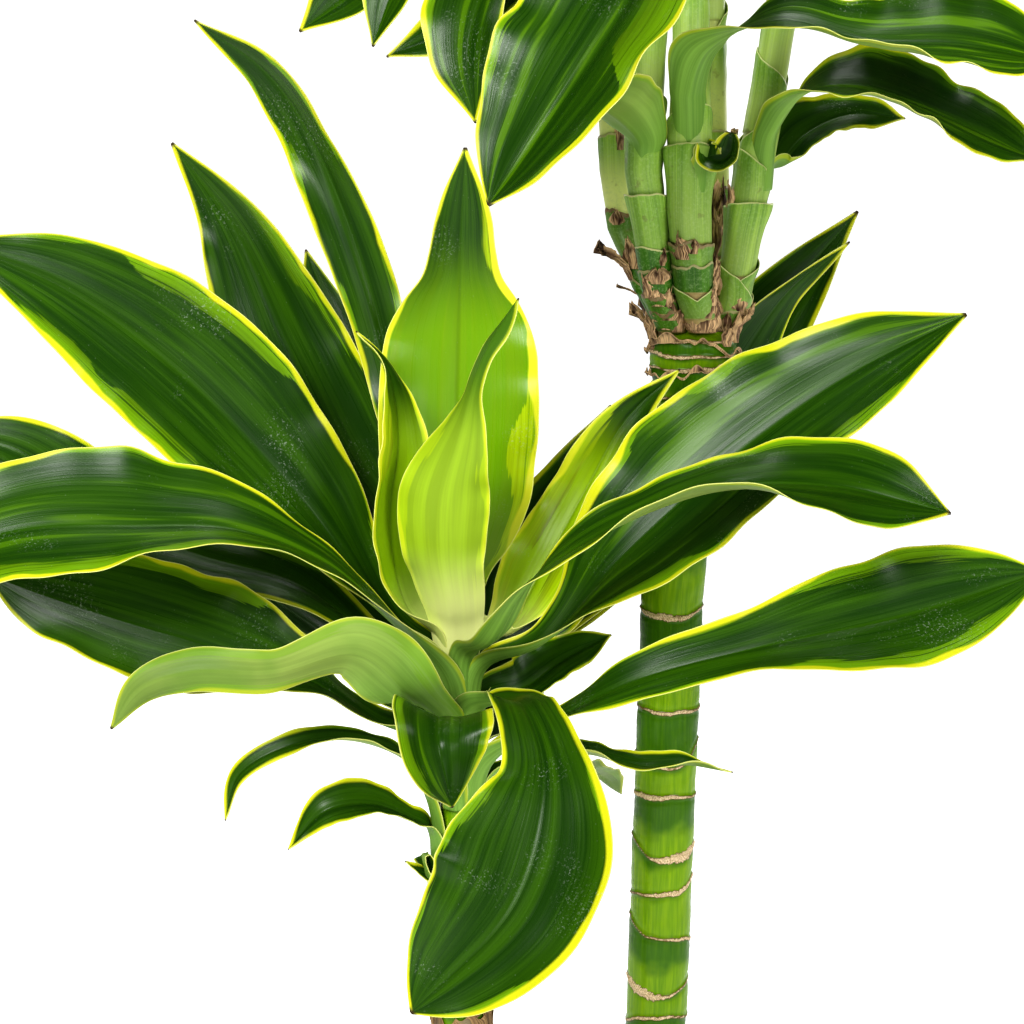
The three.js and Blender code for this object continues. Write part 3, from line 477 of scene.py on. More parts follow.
# %% The outline: share of the length -> share of the width
WIDEST = 0.56
OUTLINES = {
    "strap": [(0, 0.2), (0.1, 0.24), (0.22, 0.44), (0.38, 0.8), (0.54, 1), (0.66, 0.97), (0.78, 0.78),
        (0.88, 0.5), (0.95, 0.22), (1, 0.02)],
    "necked": [(0, 0.2), (0.08, 0.3), (0.17, 0.6), (0.29, 0.92), (0.42, 1), (0.52, 1), (0.6, 0.96),
        (0.65, 0.88), (0.7, 0.72), (0.745, 0.52), (0.8, 0.42), (0.86, 0.36), (0.92, 0.24), (0.96, 0.13),
        (1, 0.02)],
    "folded": [(0, 0.45), (0.06, 0.56), (0.21, 0.8), (0.3, 0.9), (0.39, 0.98), (0.46, 1), (0.54, 0.86),
        (0.65, 0.6), (0.76, 0.32), (0.83, 0.26), (0.92, 0.3), (0.97, 0.16), (1, 0.02)],
    "even": [(0, 0.3), (0.12, 0.3), (0.25, 0.5), (0.38, 0.75), (0.55, 0.9), (0.7, 0.92), (0.8, 1),
        (0.86, 0.92), (0.91, 0.62), (0.95, 0.35), (1, 0.03)],
    "late": [(0, 0.3), (0.12, 0.3), (0.3, 0.38), (0.42, 0.43), (0.52, 0.5), (0.6, 0.72), (0.67, 0.92),
        (0.75, 1), (0.82, 0.96), (0.9, 0.7), (0.96, 0.35), (1, 0.02)],
    "blunt": [(0, 0.25), (0.12, 0.25), (0.28, 0.36), (0.4, 0.42), (0.5, 0.54), (0.57, 0.8), (0.64, 1),
        (0.72, 1), (0.8, 0.9), (0.87, 0.72), (0.93, 0.5), (0.97, 0.26), (1, 0.02)],
    "curled": [(0, 0.2), (0.1, 0.32), (0.22, 0.7), (0.34, 1), (0.45, 0.9), (0.55, 0.7), (0.7, 0.58),
        (0.8, 0.55), (0.9, 0.42), (0.96, 0.2), (1, 0.03)],
    "cupped": [(0, 0.3), (0.3, 0.32), (0.5, 0.55), (0.68, 0.92), (0.8, 1), (0.9, 0.86), (0.96, 0.62),
        (1, 0.3)],
}


def outline(s, shape):
    """A smooth curve: shape is the name of an outline, or where a plain strap leaf is widest."""
    named = shape in OUTLINES
    x, y = np.array(OUTLINES[shape if named else "strap"], float).T
    if not named:
        x[1:-1] **= math.log(shape) / math.log(WIDEST)
    slope = np.gradient(y, x)
    i = np.clip(np.searchsorted(x, s, side="right") - 1, 0, len(x) - 2)
    h = x[i + 1] - x[i]
    t = (s - x[i]) / h
    rise = (2 * t**3 - 3 * t**2 + 1) * y[i] + (t**3 - 2 * t**2 + t) * h * slope[i]
    return rise + (3 * t**2 - 2 * t**3) * y[i + 1] + (t**3 - t**2) * h * slope[i + 1]


# %% Patches, and grids of points
# One stretch of surface in millimetres, before it is put into a mesh. Its faces come in groups of one kind.
Patch = namedtuple("Patch", "points faces place trait look material")


def spread(grid, *values):
    """Gives each point of a grid these values, which may be single numbers."""
    return np.stack([value + 0 * grid for value in values], 2)


def round_grid(x, y, r, angle, z):
    """Points at distance r round an upright axis through x, y."""
    return spread(r + angle + z, x + r * np.cos(angle), y + r * np.sin(angle), z)


def grid_faces(rows, columns, start=0, flip=False):
    """Quads over a grid of rows x columns points."""
    a = start + np.add.outer(np.arange(rows - 1) * columns, np.arange(columns - 1)).ravel()
    quads = np.stack([a, a + 1, a + columns + 1, a + columns], 1)
    return quads[:, ::-1] if flip else quads


def closed_sheet(grid, thick, place, trait, look, material):
    """A thin closed sheet round a grid of points: thick is its thickness at each point."""
    rows, columns = grid.shape[:2]
    normal = np.cross(np.gradient(grid, axis=1), np.gradient(grid, axis=0))
    normal /= np.maximum(np.linalg.norm(normal, axis=2), 1e-9)[..., None]
    half = normal * (thick / 2)[..., None]
    count = rows * columns
    points = np.concatenate([(grid + half).reshape(-1, 3), (grid - half).reshape(-1, 3)])
    index = np.arange(count).reshape(rows, columns)
    border = np.concatenate([index[0, :-1], index[:-1, -1], index[-1, :0:-1], index[:0:-1, 0]])
    after = np.roll(border, -1)
    rim = np.stack([border, border + count, after + count, after], 1)
    faces = [grid_faces(rows, columns), grid_faces(rows, columns, count, True), rim]
    told = [np.concatenate([a.reshape(-1, 3)] * 2) for a in (place, trait, look)]
    told[1][count:, 2] = 1
    return Patch(points, faces, *told, material)


# %% The directions of a blade
def directions(midrib, heading, turn):
    """At each step the unit vectors across the blade and out of its face, turned about the midrib."""
    tangent = np.gradient(midrib, axis=0)
    tangent /= np.linalg.norm(tangent, axis=1)[:, None]
    side = np.empty_like(midrib)
    now = np.array([math.sin(heading), -math.cos(heading), 0.0])
    for i, forward in enumerate(tangent):
        now = now - forward * (now @ forward)
        now /= np.linalg.norm(now)
        side[i] = now
    up = np.cross(side, tangent)
    c, n = np.cos(turn)[:, None], np.sin(turn)[:, None]
    return (side * c - up * n)[:, None], (up * c + side * n)[:, None]


# %% The waves of a blade
FULL_TURN = 2 * np.pi
GROOVE_DEPTH, GROOVE_HALF = 0.55, 1.7
RUFFLE = 1.5


def waves(s, v, half, free, wave, seed):
    """How far the blade rises at share s of its length and v of its half width, in millimetres."""
    height, count, phase = wave
    first, second, third, fourth = np.random.default_rng(1000 + seed).uniform(0, FULL_TURN, 4)
    wide = np.abs(v)
    swing = np.sin(FULL_TURN * count * s + phase + np.where(v > 0, 0, 1.9))
    small = np.sin(FULL_TURN * 6.3 * s + first + 2 * np.sign(v))
    small = small + 0.7 * np.sin(FULL_TURN * 10.7 * s + second - np.sign(v))
    pleats = np.sin(v * 7 + third) * 0.35 + np.sin(v * 13 + fourth) * 0.2
    lift = height * free * wide**1.6 * swing
    lift = lift + RUFFLE * free * wide**3 * small * (half / 40)
    lift = lift + pleats * smooth(half / 25) * free * (1 - wide**4)
    return lift - GROOVE_DEPTH * np.exp(-((half * v / GROOVE_HALF) ** 2)) * smooth((1 - s) / 0.1)


# %% A leaf
ACROSS = np.array([0, 0.05, 0.12, 0.22, 0.34, 0.47, 0.6, 0.72, 0.83, 0.91, 0.96, 0.985, 1])
ACROSS = np.concatenate([-ACROSS[:0:-1], ACROSS])
STEPS = 110
SHEATH_HEIGHT, SHEATH_FLARE = 22, 4.6
OPENING = 60  # how far from its foot a leaf is open
BLADE_CUP, BLADE_FOLD = 0.35, 0.12
BLADE_THICK, EDGE_THICK = 0.75, 0.35
NARROWEST = 0.012
LIME_SHARE = 1 / 16
PATTERNS = 97  # how many patterns a seed can pick


def leaf(foot, stem_radius, through, width, roll, wave, shape, *, seed, heading=None, lime=None, streaks=0.0,
         young=0.0, clasp=1.5, material=mature_leaf):
    """A leaf as a patch. Lengths are in millimetres and angles in degrees, but heading is in radians."""
    left, right = lime or (width * LIME_SHARE, width * LIME_SHARE)
    foot = np.asarray(foot, float)
    if heading is None:
        heading = math.atan2(through[0][1] - foot[1], through[0][0] - foot[0])
    out = np.array([math.cos(heading), math.sin(heading), 0])
    clasped = foot + out * (stem_radius + SHEATH_FLARE) + np.array([0, 0, SHEATH_HEIGHT])
    midrib, length = spaced_curve([foot + out * stem_radius, clasped, *through], STEPS)
    s = np.linspace(0, 1, STEPS + 1)
    middle, tip = np.radians(roll)
    turn = middle * smooth((s - 0.05) / 0.4) + (tip - middle) * smooth((s - 0.45) / 0.5)
    side, up = directions(midrib, heading, turn)

    s, v = s[:, None], ACROSS[None, :]
    half = np.maximum(outline(s, shape), NARROWEST) * width / 2
    opened = smooth(s * length / OPENING)
    half = half * opened + np.maximum(half, min(clasp * stem_radius, width * 0.42)) * (1 - opened)
    foot_cup = min(clasp, half[0, 0] / stem_radius)
    cup = foot_cup + (BLADE_CUP - foot_cup) * smooth((s * length - SHEATH_HEIGHT * 0.8) / OPENING)
    free = smooth((s - 0.12) / 0.2) * smooth((1 - s) / 0.12)
    lift = half * (1 - np.cos(cup * v)) / cup + BLADE_FOLD * smooth(s / 0.3) * half * np.abs(v)
    lift = lift + waves(s, v, half, free, wave, seed)
    bend = half * np.sin(cup * v) / cup
    grid = midrib[:, None] + side * bend[..., None] + up * lift[..., None]

    thick = EDGE_THICK + (BLADE_THICK - EDGE_THICK) * (1 - np.abs(v) ** 6) + 0 * s
    narrow = np.clip(half / (0.4 * width), 0.3, 1) ** 2
    place = spread(thick, v * width / 2, s * length, half * (1 - np.abs(v)))
    trait = spread(thick, np.where(v < 0, left, right) * narrow, seed % PATTERNS, 0)
    return closed_sheet(grid, thick, place, trait, spread(thick, s, streaks, young), material)


# %% Patches into one object
def make_piece(name, patches, slot, *replaced):
    """Joins patches into one smooth object in metres and hides the solids that it replaces; slot is not used.
    """
    mesh = bpy.data.meshes.new(name)
    starts = np.cumsum([0] + [len(p.points) for p in patches[:-1]])
    points = np.concatenate([p.points for p in patches]) * MM
    faces = [face for p, at in zip(patches, starts) for group in p.faces for face in (group + at).tolist()]
    mesh.from_pydata(points.tolist(), [], faces)
    finishes = list(dict.fromkeys(p.material for p in patches))
    for material in finishes:
        mesh.materials.append(material)
    chosen = [np.full(sum(map(len, p.faces)), finishes.index(p.material), np.int32) for p in patches]
    mesh.polygons.foreach_set("material_index", np.concatenate(chosen))
    for key in ("place", "trait", "look"):
        values = np.concatenate([getattr(p, key) for p in patches]).astype(np.float32)
        mesh.attributes.new(key, "FLOAT_VECTOR", "POINT").data.foreach_set("vector", values.ravel())
    mesh.shade_smooth()
    mesh.validate()
    piece = bpy.data.objects.new(name, mesh)
    bpy.context.scene.collection.objects.link(piece)
    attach(piece, "root")
    if replaced:
        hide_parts(*replaced)
    print(name + ":", len(mesh.polygons), "faces")
    return piece


# %% [markdown]
# ## The rosette
# The short cane ends in about thirty leaves. Each one that the photograph shows is placed one by one: where
# its foot sits on the stem, how wide it is, how it turns and ripples, and a few points of its midrib. The
# leaves behind it are drawn by a rule, as arcs that leave the stem steeply and droop.

# %% Table of the visible leaves
# name: foot z, width, roll at middle and tip, wave (height, count, phase), outline, midrib points
ROSETTE = {
    "left_broad": (482.5, 78, (-62, -70), (3, 2, 0), 0.55, [(-80, -27, 521), (-123, -8, 575), (-182, 3, 637),
        (-240, 5, 679), (-295, 5, 701)]),
    "upper_left": (488.6, 65, (-38, -45), (4, 2.5, 1), 0.5, [(-60, -4, 536), (-103, 36, 586), (-135, 48, 647),
        (-162, 52, 707), (-191, 50, 747)]),
    "tall_twisted": (497.2, 32, (-38, -70), (4, 2.5, 2), "even", [(-60, -6, 550), (-79, 16, 623),
        (-94, 26, 681), (-119, 34, 745), (-142, 36, 780), (-177, 34, 806)]),
    "behind_left": (477.5, 46, (-20, -20), (2, 2, 0), 0.6, [(-60, 34, 541), (-91, 78, 596), (-117, 99, 651),
        (-130, 110, 692)]),
    "centre_tall": (508, 78, (0, 0), (3, 2.5, 0), "necked", [(-51, -7, 548), (-50, 1, 615), (-48, 2, 677),
        (-45, -12, 745)]),
    "centre_young": (498, 44, (4, -60), (2, 2, 0), "folded", [(-52, -46, 530), (-56, -54, 557),
        (-55, -62, 587), (-46, -68, 618), (-36, -68, 650), (-20, -60, 677)]),
    "left_young": (493.6, 38, (-55, -40), (3, 2, 0), 0.42, [(-73, -33, 530), (-80, -39, 572), (-76, -38, 610),
        (-81, -36, 642), (-96, -32, 660)]),
    "right_young": (496.4, 38, (32, 60), (4, 2.5, 0), 0.45, [(-28, -14, 512), (-7, -2, 544), (12, 5, 578),
        (32, 6, 614), (58, 4, 639)]),
    "right_shaded": (471, 62, (34, 34), (3, 2, 0), 0.5, [(-26, 12, 510), (-5, 34, 541), (14, 50, 579),
        (27, 60, 616)]),
    "back_right_wide": (444, 64, (45, 50), (4, 2.5, 0), 0.55, [(1, 52, 518), (43, 82, 565), (90, 100, 630),
        (126, 104, 677), (155, 102, 712)]),
    "back_right_slim": (457.5, 42, (60, 80), (5, 3, 1), 0.55, [(1, 36, 513), (47, 66, 564), (89, 84, 629),
        (119, 88, 672), (149, 85, 697)]),
    "right_broad": (478, 80, (60, 65), (3, 2, 0), 0.55, [(-9, -41, 513), (28, -40, 553), (79, -38, 600),
        (135, -36, 640), (189, -35, 668)]),
    "right_arching": (484.5, 58, (48, 90), (5, 2, 0), "late", [(-32, -71, 520), (-15, -88, 550),
        (23, -96, 577), (71, -93, 594), (121, -85, 594), (177, -76, 580)]),
    "right_low": (431, 62, (55, 65), (4, 2, 0), "late", [(-3, -50, 478), (37, -60, 500), (92, -65, 516),
        (157, -62, 530), (223, -58, 550)]),
    "front_big": (458, 76, (8, 20), (4, 1.5, 0), "blunt", [(-26, -62, 489), (-17, -98, 494), (-9, -138, 470),
        (-22, -158, 422), (-67, -160, 372)]),
    "front_small": (432, 47, (-8, -12), (4, 1.5, 0), 0.68, [(-55, -66, 467), (-56, -88, 488),
        (-56, -105, 480), (-50, -106, 450)]),
    "left_striped": (474, 74, (-55, -78), (4, 2, 0), 0.66, [(-75, -60, 524), (-109, -72, 557),
        (-149, -78, 573), (-192, -80, 575), (-247, -80, 573), (-320, -80, 550)]),
    "left_low": (441, 70, (-48, -60), (5, 2.5, 0), 0.66, [(-86, -43, 476), (-118, -52, 498), (-162, -55, 514),
        (-208, -55, 528), (-269, -52, 548)]),
    "left_thin": (444.4, 28, (-10, -10), (2, 2, 0), 0.55, [(-90, 0, 495), (-116, 26, 505), (-148, 42, 523),
        (-178, 50, 538)]),
    "left_short": (456, 32, (-30, -30), (2, 2, 0), 0.55, [(-82, -6, 502), (-100, 12, 514), (-113, 18, 529),
        (-118, 20, 540)]),
    "left_curled": (451.3, 36, (50, 70), (3, 2.5, 0), "curled", [(-71, -77, 497), (-94, -95, 519),
        (-132, -100, 511), (-168, -100, 511), (-191, -98, 503), (-205, -95, 484)]),
    "left_far": (468.5, 52, (-50, -60), (3, 2, 0), 0.6, [(-86, -20, 508), (-125, -10, 536), (-174, 0, 549),
        (-219, 5, 565), (-261, 5, 600), (-305, 5, 609)]),
    "right_under": (462.5, 30, (40, 40), (2, 2, 0), 0.55, [(-17, -20, 488), (2, -17, 501), (25, -13, 512)]),
    "right_thin": (423, 24, (-9, -6), (2, 2.5, 0), 0.5, [(-19, -20, 449), (12, -40, 460), (38, -45, 455),
        (61, -45, 456), (82, -42, 451)]),
    "lower_left": (415, 20, (-20, -70), (2, 2, 0), "curled", [(-74, -40, 457), (-100, -45, 468),
        (-130, -50, 465), (-152, -50, 452), (-159, -48, 429)]),
    "lowest_left": (402, 22, (-40, -60), (2, 2, 0), 0.55, [(-69, -42, 428), (-90, -50, 438), (-111, -55, 436),
        (-129, -52, 416)]),
    "stub": (388, 12, (-30, -30), (0.2, 1, 0), 0.5, [(-61, -36, 398), (-74, -40, 407)]),
}

# %% How single leaves differ in finish
# lime: width of the band on the two sides; streaks: pale streaks over the whole blade
LOOKS = {
    "left_broad": dict(lime=(8, 7)),
    "upper_left": dict(lime=(3, 7)),
    "tall_twisted": dict(lime=(4, 7)),
    "centre_tall": dict(lime=(7, 17), young=0.2, clasp=0.9),
    "centre_young": dict(lime=(4, 6), young=1.0, clasp=0.7),
    "left_young": dict(lime=(7, 4), young=0.55, clasp=0.9),
    "right_young": dict(lime=(8, 10), young=0.85),
    "right_broad": dict(lime=(10, 7), streaks=0.25),
    "right_arching": dict(lime=(4, 3)),
    "right_low": dict(lime=(6, 9)),
    "front_big": dict(lime=(7, 5)),
    "front_small": dict(lime=(4, 5), streaks=0.3, clasp=0.6),
    "left_striped": dict(lime=(9, 3), streaks=0.2),
    "left_low": dict(lime=(3, 6)),
    "left_far": dict(lime=(7, 9)),
    "left_curled": dict(lime=(6, 6)),
}

# %% The stem under the leaves, and the rosette
SHORT_X, SHORT_Y, SHORT_RADIUS, SHORT_TOP = -48, -30, 14, 506
SHORT_TAPER = [(380, 14), (400, 12), (420, 10), (440, 9.5), (460, 8.8), (506, 4.4)]
LEAF_SEAT = 1.35


def along_table(table, z):
    return np.interp(z, *zip(*table))


def rosette_leaf(name, z, points, *form, **look):
    """Seats one leaf on the short cane and makes it a piece."""
    radius = along_table(SHORT_TAPER, z) + LEAF_SEAT
    fresh = "young" in name or "centre" in name
    material, slot = (young_leaf, "young_leaf") if fresh else (mature_leaf, "leaf")
    blade = leaf((SHORT_X, SHORT_Y, z), radius, points, *form, material=material, **look)
    make_piece("leaf_" + name + "_blade", [blade], slot, "leaf_" + name)


for number, (name, (z, *form, points)) in enumerate(ROSETTE.items()):
    rosette_leaf(name, z, points, *form, seed=number + 1, **LOOKS.get(name, {}))

# %% The leaves behind, as drooping arcs
# name: foot z, heading, rise at the foot and at the tip, length, width
ROSETTE_BACK = {
    "behind_upper": (462, 90, 34, -8, 310, 70),
    "behind_middle": (449.5, 106, 29, -22, 300, 60),
    "behind_lower": (434, 121, 27, -30, 290, 60),
    "behind_low": (423, 84, 18, -38, 250, 54),
    "behind_lowest": (411, 62, 12, -35, 190, 40),
}
CLASPED = 20  # the length of a leaf behind that lies along the stem
ARC_PARTS, ARC_EVERY = 40, 10


def arch(x, y, z, away, heading, rise0, rise1, length):
    """Points of an arc that starts away from x, y. It leaves at rise0 degrees and ends at rise1."""
    out = np.array([math.cos(heading), math.sin(heading), 0])
    pen = np.array([x, y, z]) + out * away
    points = []
    for i in range(ARC_PARTS):
        rise = math.radians(rise0 + (rise1 - rise0) * ((i + 0.5) / ARC_PARTS) ** 1.2)
        pen = pen + (math.cos(rise) * out + math.sin(rise) * np.array([0, 0, 1])) * length / ARC_PARTS
        points.append(pen)
    return points[ARC_EVERY - 1::ARC_EVERY]


for number, (name, (z, degrees, rise0, rise1, length, width)) in enumerate(ROSETTE_BACK.items()):
    heading = math.radians(degrees)
    away = along_table(SHORT_TAPER, z) + LEAF_SEAT + 4
    points = arch(SHORT_X, SHORT_Y, z + 14, away, heading, rise0, rise1, length - CLASPED)
    rosette_leaf(name, z, points, width, (0, 0), (2.5, 2, degrees % 6), WIDEST, heading=heading,
                 seed=40 + number, lime=(5, 6))
print("rosette:", len(ROSETTE), "leaves placed one by one and", len(ROSETTE_BACK), "behind them")

# %% [markdown]
# ## Stems, sheaths and scraps
# Canes and shoots are round stems on a bent axis. A stem could be a curve with a bevel, but its rings
# and swellings need control of every row, so it is computed as a grid of points. The green shoots are
# wrapped in the clasping bases of their leaves: each is a thin sleeve round the stem, highest on one side
# and falling to a V on the other. An old sheath ends in a torn brown rim.


# %% Irregular heights
def rough(points, size, seed):
    """Irregular heights, about -1 to 1, from twelve crossed waves. The longest of them is size mm long."""
    draw = np.random.default_rng(seed)
    total = np.zeros(points.shape[:-1])
    for octave in np.repeat([0, 1, 2], 4):
        aim = draw.normal(size=3)
        aim /= np.linalg.norm(aim)
        step = size / 1.8**octave
        total += np.sin(points @ aim * (FULL_TURN / step) + draw.uniform(0, FULL_TURN)) / 1.5**octave
    return total / 2.8


# %% A round stem
def ring_faces(rows, sides):
    """Quads round a tube of rows x sides points, and a flat cap at each end."""
    a = np.arange(rows - 1)[:, None] * sides + np.arange(sides)[None]
    b = np.arange(rows - 1)[:, None] * sides + (np.arange(sides)[None] + 1) % sides
    quads = np.stack([a, b, b + sides, a + sides], -1).reshape(-1, 4)
    return [quads, np.arange(sides)[None, ::-1], (rows - 1) * sides + np.arange(sides)[None]]


def centre_at(axis, z):
    heights, x, y = zip(*axis)
    return np.interp(z, heights, x), np.interp(z, heights, y)


def round_stem(centre, radius, heights, sides, material, *, relief=None, trait=None, look=None):
    """centre(z) and radius(z) set the stem; relief(angle, z, base point) is added to its radius."""
    angle = np.linspace(0, FULL_TURN, sides, endpoint=False)[None, :]
    z = np.asarray(heights, float)[:, None] + 0 * angle
    r = radius(z)
    local = round_grid(0, 0, r, angle, z)
    if relief:
        r = r + relief(angle, z, local)
    points = round_grid(*centre(z), r, angle, z).reshape(-1, 3)
    told = local, trait(angle, z) if trait else 0 * local, 0 * local if look is None else look
    return Patch(points, ring_faces(*z.shape), *[t.reshape(-1, 3) for t in told], material)


# %% A sheath
SLEEVE_SIDES, SLEEVE_ROWS = 64, 25


def closed_sleeve(grid, thick, place, trait, look, material):
    """A thin closed tube: the columns of the grid go all the way round, counter-clockwise."""
    rows, sides = grid.shape[:2]
    normal = np.cross(np.roll(grid, -1, axis=1) - np.roll(grid, 1, axis=1), np.gradient(grid, axis=0))
    normal /= np.linalg.norm(normal, axis=2)[..., None]
    count = rows * sides
    points = np.concatenate([grid.reshape(-1, 3), (grid - normal * thick[..., None]).reshape(-1, 3)])
    skin = ring_faces(rows, sides)[0]
    a = np.arange(sides)
    b = (a + 1) % sides
    foot = np.stack([b, a, a + count, b + count], 1)
    mouth = foot[:, ::-1] + (rows - 1) * sides
    told = [np.concatenate([v.reshape(-1, 3)] * 2) for v in (place, trait, look)]
    return Patch(points, [skin, skin[:, ::-1] + count, foot, mouth], *told, material)


def sheath(axis, radii, low, high, facing, drop, flare, dark, pale, dry, seed):
    """The base of a leaf rolled round a stem from low to high, highest at the angle facing."""
    u = (np.arange(SLEEVE_SIDES) / SLEEVE_SIDES * 2 - 1)[None, :]
    t = np.linspace(0, 1, SLEEVE_ROWS)[:, None]
    angle = math.radians(facing) + u * np.pi
    walk = round_grid(0, 0, 9, angle, 0)
    mouth = high - drop * np.abs(u) ** 1.3 + (0.3 + 1.6 * dry) * rough(walk, 16, 340 + seed)
    z = low + (mouth - low) * t
    x, y = centre_at(axis, z)
    lip = flare * smooth((t - 0.2) / 0.8) ** 2 * (1 + 0.5 * rough(walk, 20, 360 + seed))
    r = along_table(radii, z) + 0.15 + lip + 0.35 * smooth(t / 0.3)
    r = r + 0.25 * rough(round_grid(x, y, r, angle, z), 22, 300 + seed) * smooth(t)
    place = spread(z, u * np.pi * r, z - low, (mouth - z) * 0.9)
    return closed_sleeve(round_grid(x, y, r, angle, z), 0.5 - 0.2 * t**4 + 0 * u, place,
                         spread(z, dry, seed % PATTERNS, 0), spread(z, t, dark, pale), sheath_skin)


# %% A dry scrap
SCRAP_COLUMNS, SCRAP_ROWS = 13, 21


def scrap(foot, degrees, width, height, lean, curl, seed):
    """A torn strip of dry leaf base. It stands at foot, leans towards its heading and curls over."""
    draw = np.random.default_rng(700 + seed)
    u = np.linspace(-1, 1, SCRAP_COLUMNS)[None, :]
    t = np.linspace(0, 1, SCRAP_ROWS)[:, None]
    a = math.radians(degrees)
    out, side = np.array([math.cos(a), math.sin(a), 0]), np.array([-math.sin(a), math.cos(a), 0])
    lean_now, step = lean + curl * t, height / SCRAP_ROWS
    forward = np.cumsum(np.sin(lean_now) * step, axis=0)
    upward = np.cumsum(np.cos(lean_now) * step, axis=0)
    torn = (0.6 + 0.4 * smooth(t / 0.35)) * (1 - 0.8 * t ** draw.uniform(1.6, 3.2))
    torn = torn + 0.1 * np.sin(9 * t + draw.uniform(0, 6)) * t * (1 - t)
    cup = (0.16 + 0.25 * t) * width * u**2
    top = 1 + 0.16 * np.sin(7 * u + draw.uniform(0, 6)) + 0.10 * np.sin(17 * u + draw.uniform(0, 6))
    grid = np.asarray(foot, float) + (u * width / 2 * torn)[..., None] * side
    grid += (forward - cup)[..., None] * out
    grid[..., 2] += upward * (1 + (top - 1) * t)
    grid += (rough(grid, 9, 800 + seed) * 1.1 * smooth(t * 2))[..., None] * out
    edge = np.minimum((1 - np.abs(u)) * width / 2, (1 - t) * height)
    return closed_sheet(grid, 0.32 - 0.12 * t + 0 * u, spread(edge, u * width / 2, height * t, edge),
                        spread(edge, 0, seed % PATTERNS, 0), spread(edge, t, 0, 0), dry_paper)


# %% Material: green sheath
SHEATH_GREEN, SHEATH_LIGHT = (0.120, 0.270, 0.030), (0.38, 0.58, 0.085)
# the next two greens are painted shade, for sheaths and stems low among the crowded shoots
PAINTED_SHADE_GREEN, PAINTED_SHADE_LIGHT = (0.022, 0.095, 0.003), (0.075, 0.23, 0.006)
SHEATH_PALE, FRESH_RIM, DRY_RIM = (0.74, 0.80, 0.28), (0.66, 0.70, 0.30), (0.20, 0.12, 0.055)
SHEATH_SCAR, POWDER, SHEATH_BLOTCH = (0.50, 0.34, 0.15), (0.42, 0.54, 0.24), (0.13, 0.10, 0.03)


def sheath_material():
    """Green skin: look tells how much painted shade darkens it and how pale it is, trait how dry its rim is.
    """
    paint, w = new_material("sheath_skin", roughness=0.42, gloss=0.3)
    across, along, edge = w.three("place")
    dry, seed, _ = w.three("trait")
    share, dark, pale = w.three("look")
    position = w.position()
    veins = w.group(parallel_veins, across=across, along=along, seed=seed, spacing=0.7)
    tone = w.plus(w.times(veins["Fine streaks"], 0.45), w.times(veins["Broad streaks"], 0.65))
    tone = w.between(tone, 0.34, 0.80)
    colour = w.mix(tone, SHEATH_GREEN, SHEATH_LIGHT)
    # painted shade: the dark share turns the skin towards the shade greens
    colour = w.mix(dark, colour, w.mix(tone, PAINTED_SHADE_GREEN, PAINTED_SHADE_LIGHT))
    colour = w.mix(w.times(w.between(share, 0.95, 0.2), pale), colour, SHEATH_PALE)
    frayed = w.times(w.noise(position, 420.0, 3.0, 0.7), w.plus(0.7, w.times(dry, 2.6)))
    colour = w.mix(w.between(w.minus(frayed, edge), -0.2, 0.25), colour, w.mix(dry, FRESH_RIM, DRY_RIM))
    scar = w.times(w.between(along, 1.0, 0.35), w.plus(0.25, w.times(dark, 0.6)))
    colour = w.mix(scar, colour, SHEATH_SCAR)
    powder = w.between(w.noise(position, 700.0, 3.0, 0.7), 0.45, 0.75)
    colour = w.mix(w.times(powder, 0.32), colour, POWDER)
    blotch = w.between(w.noise(position, 120.0, 3.0, 0.6), 0.62, 0.70)
    colour = w.mix(w.times(blotch, 0.35), colour, SHEATH_BLOTCH)
    roughness = w.between(veins["Fine streaks"], 0.3, 0.7, 0.33, 0.42)
    return finish(paint, w, colour, roughness, (0.2, 0.0003), veins["Height"])


# %% Material: dry fibres
def dry_material(name, dark, light, stain, scale=1.0):
    """Papery leaf base or flaky bark. A smaller scale makes its fibres coarser."""
    paint, w = new_material(name, roughness=0.78, gloss=0.25)
    across, along, edge = w.three("place")
    seed = w.three("trait")[1]
    fibres = w.group(dry_fibres, across=w.times(across, scale), along=w.times(along, scale), seed=seed,
                     dark_colour=dark, light_colour=light, stain_colour=stain)
    colour = w.mix(w.between(edge, 0.1, 0.6, 0.45, 0.0), fibres["Colour"], light)
    return finish(paint, w, colour, None, (0.8, 0.0006), fibres["Height"])


sheath_skin = sheath_material()
dry_paper = dry_material("dry_paper", (0.11, 0.055, 0.028), (0.78, 0.52, 0.28), (0.050, 0.022, 0.012))
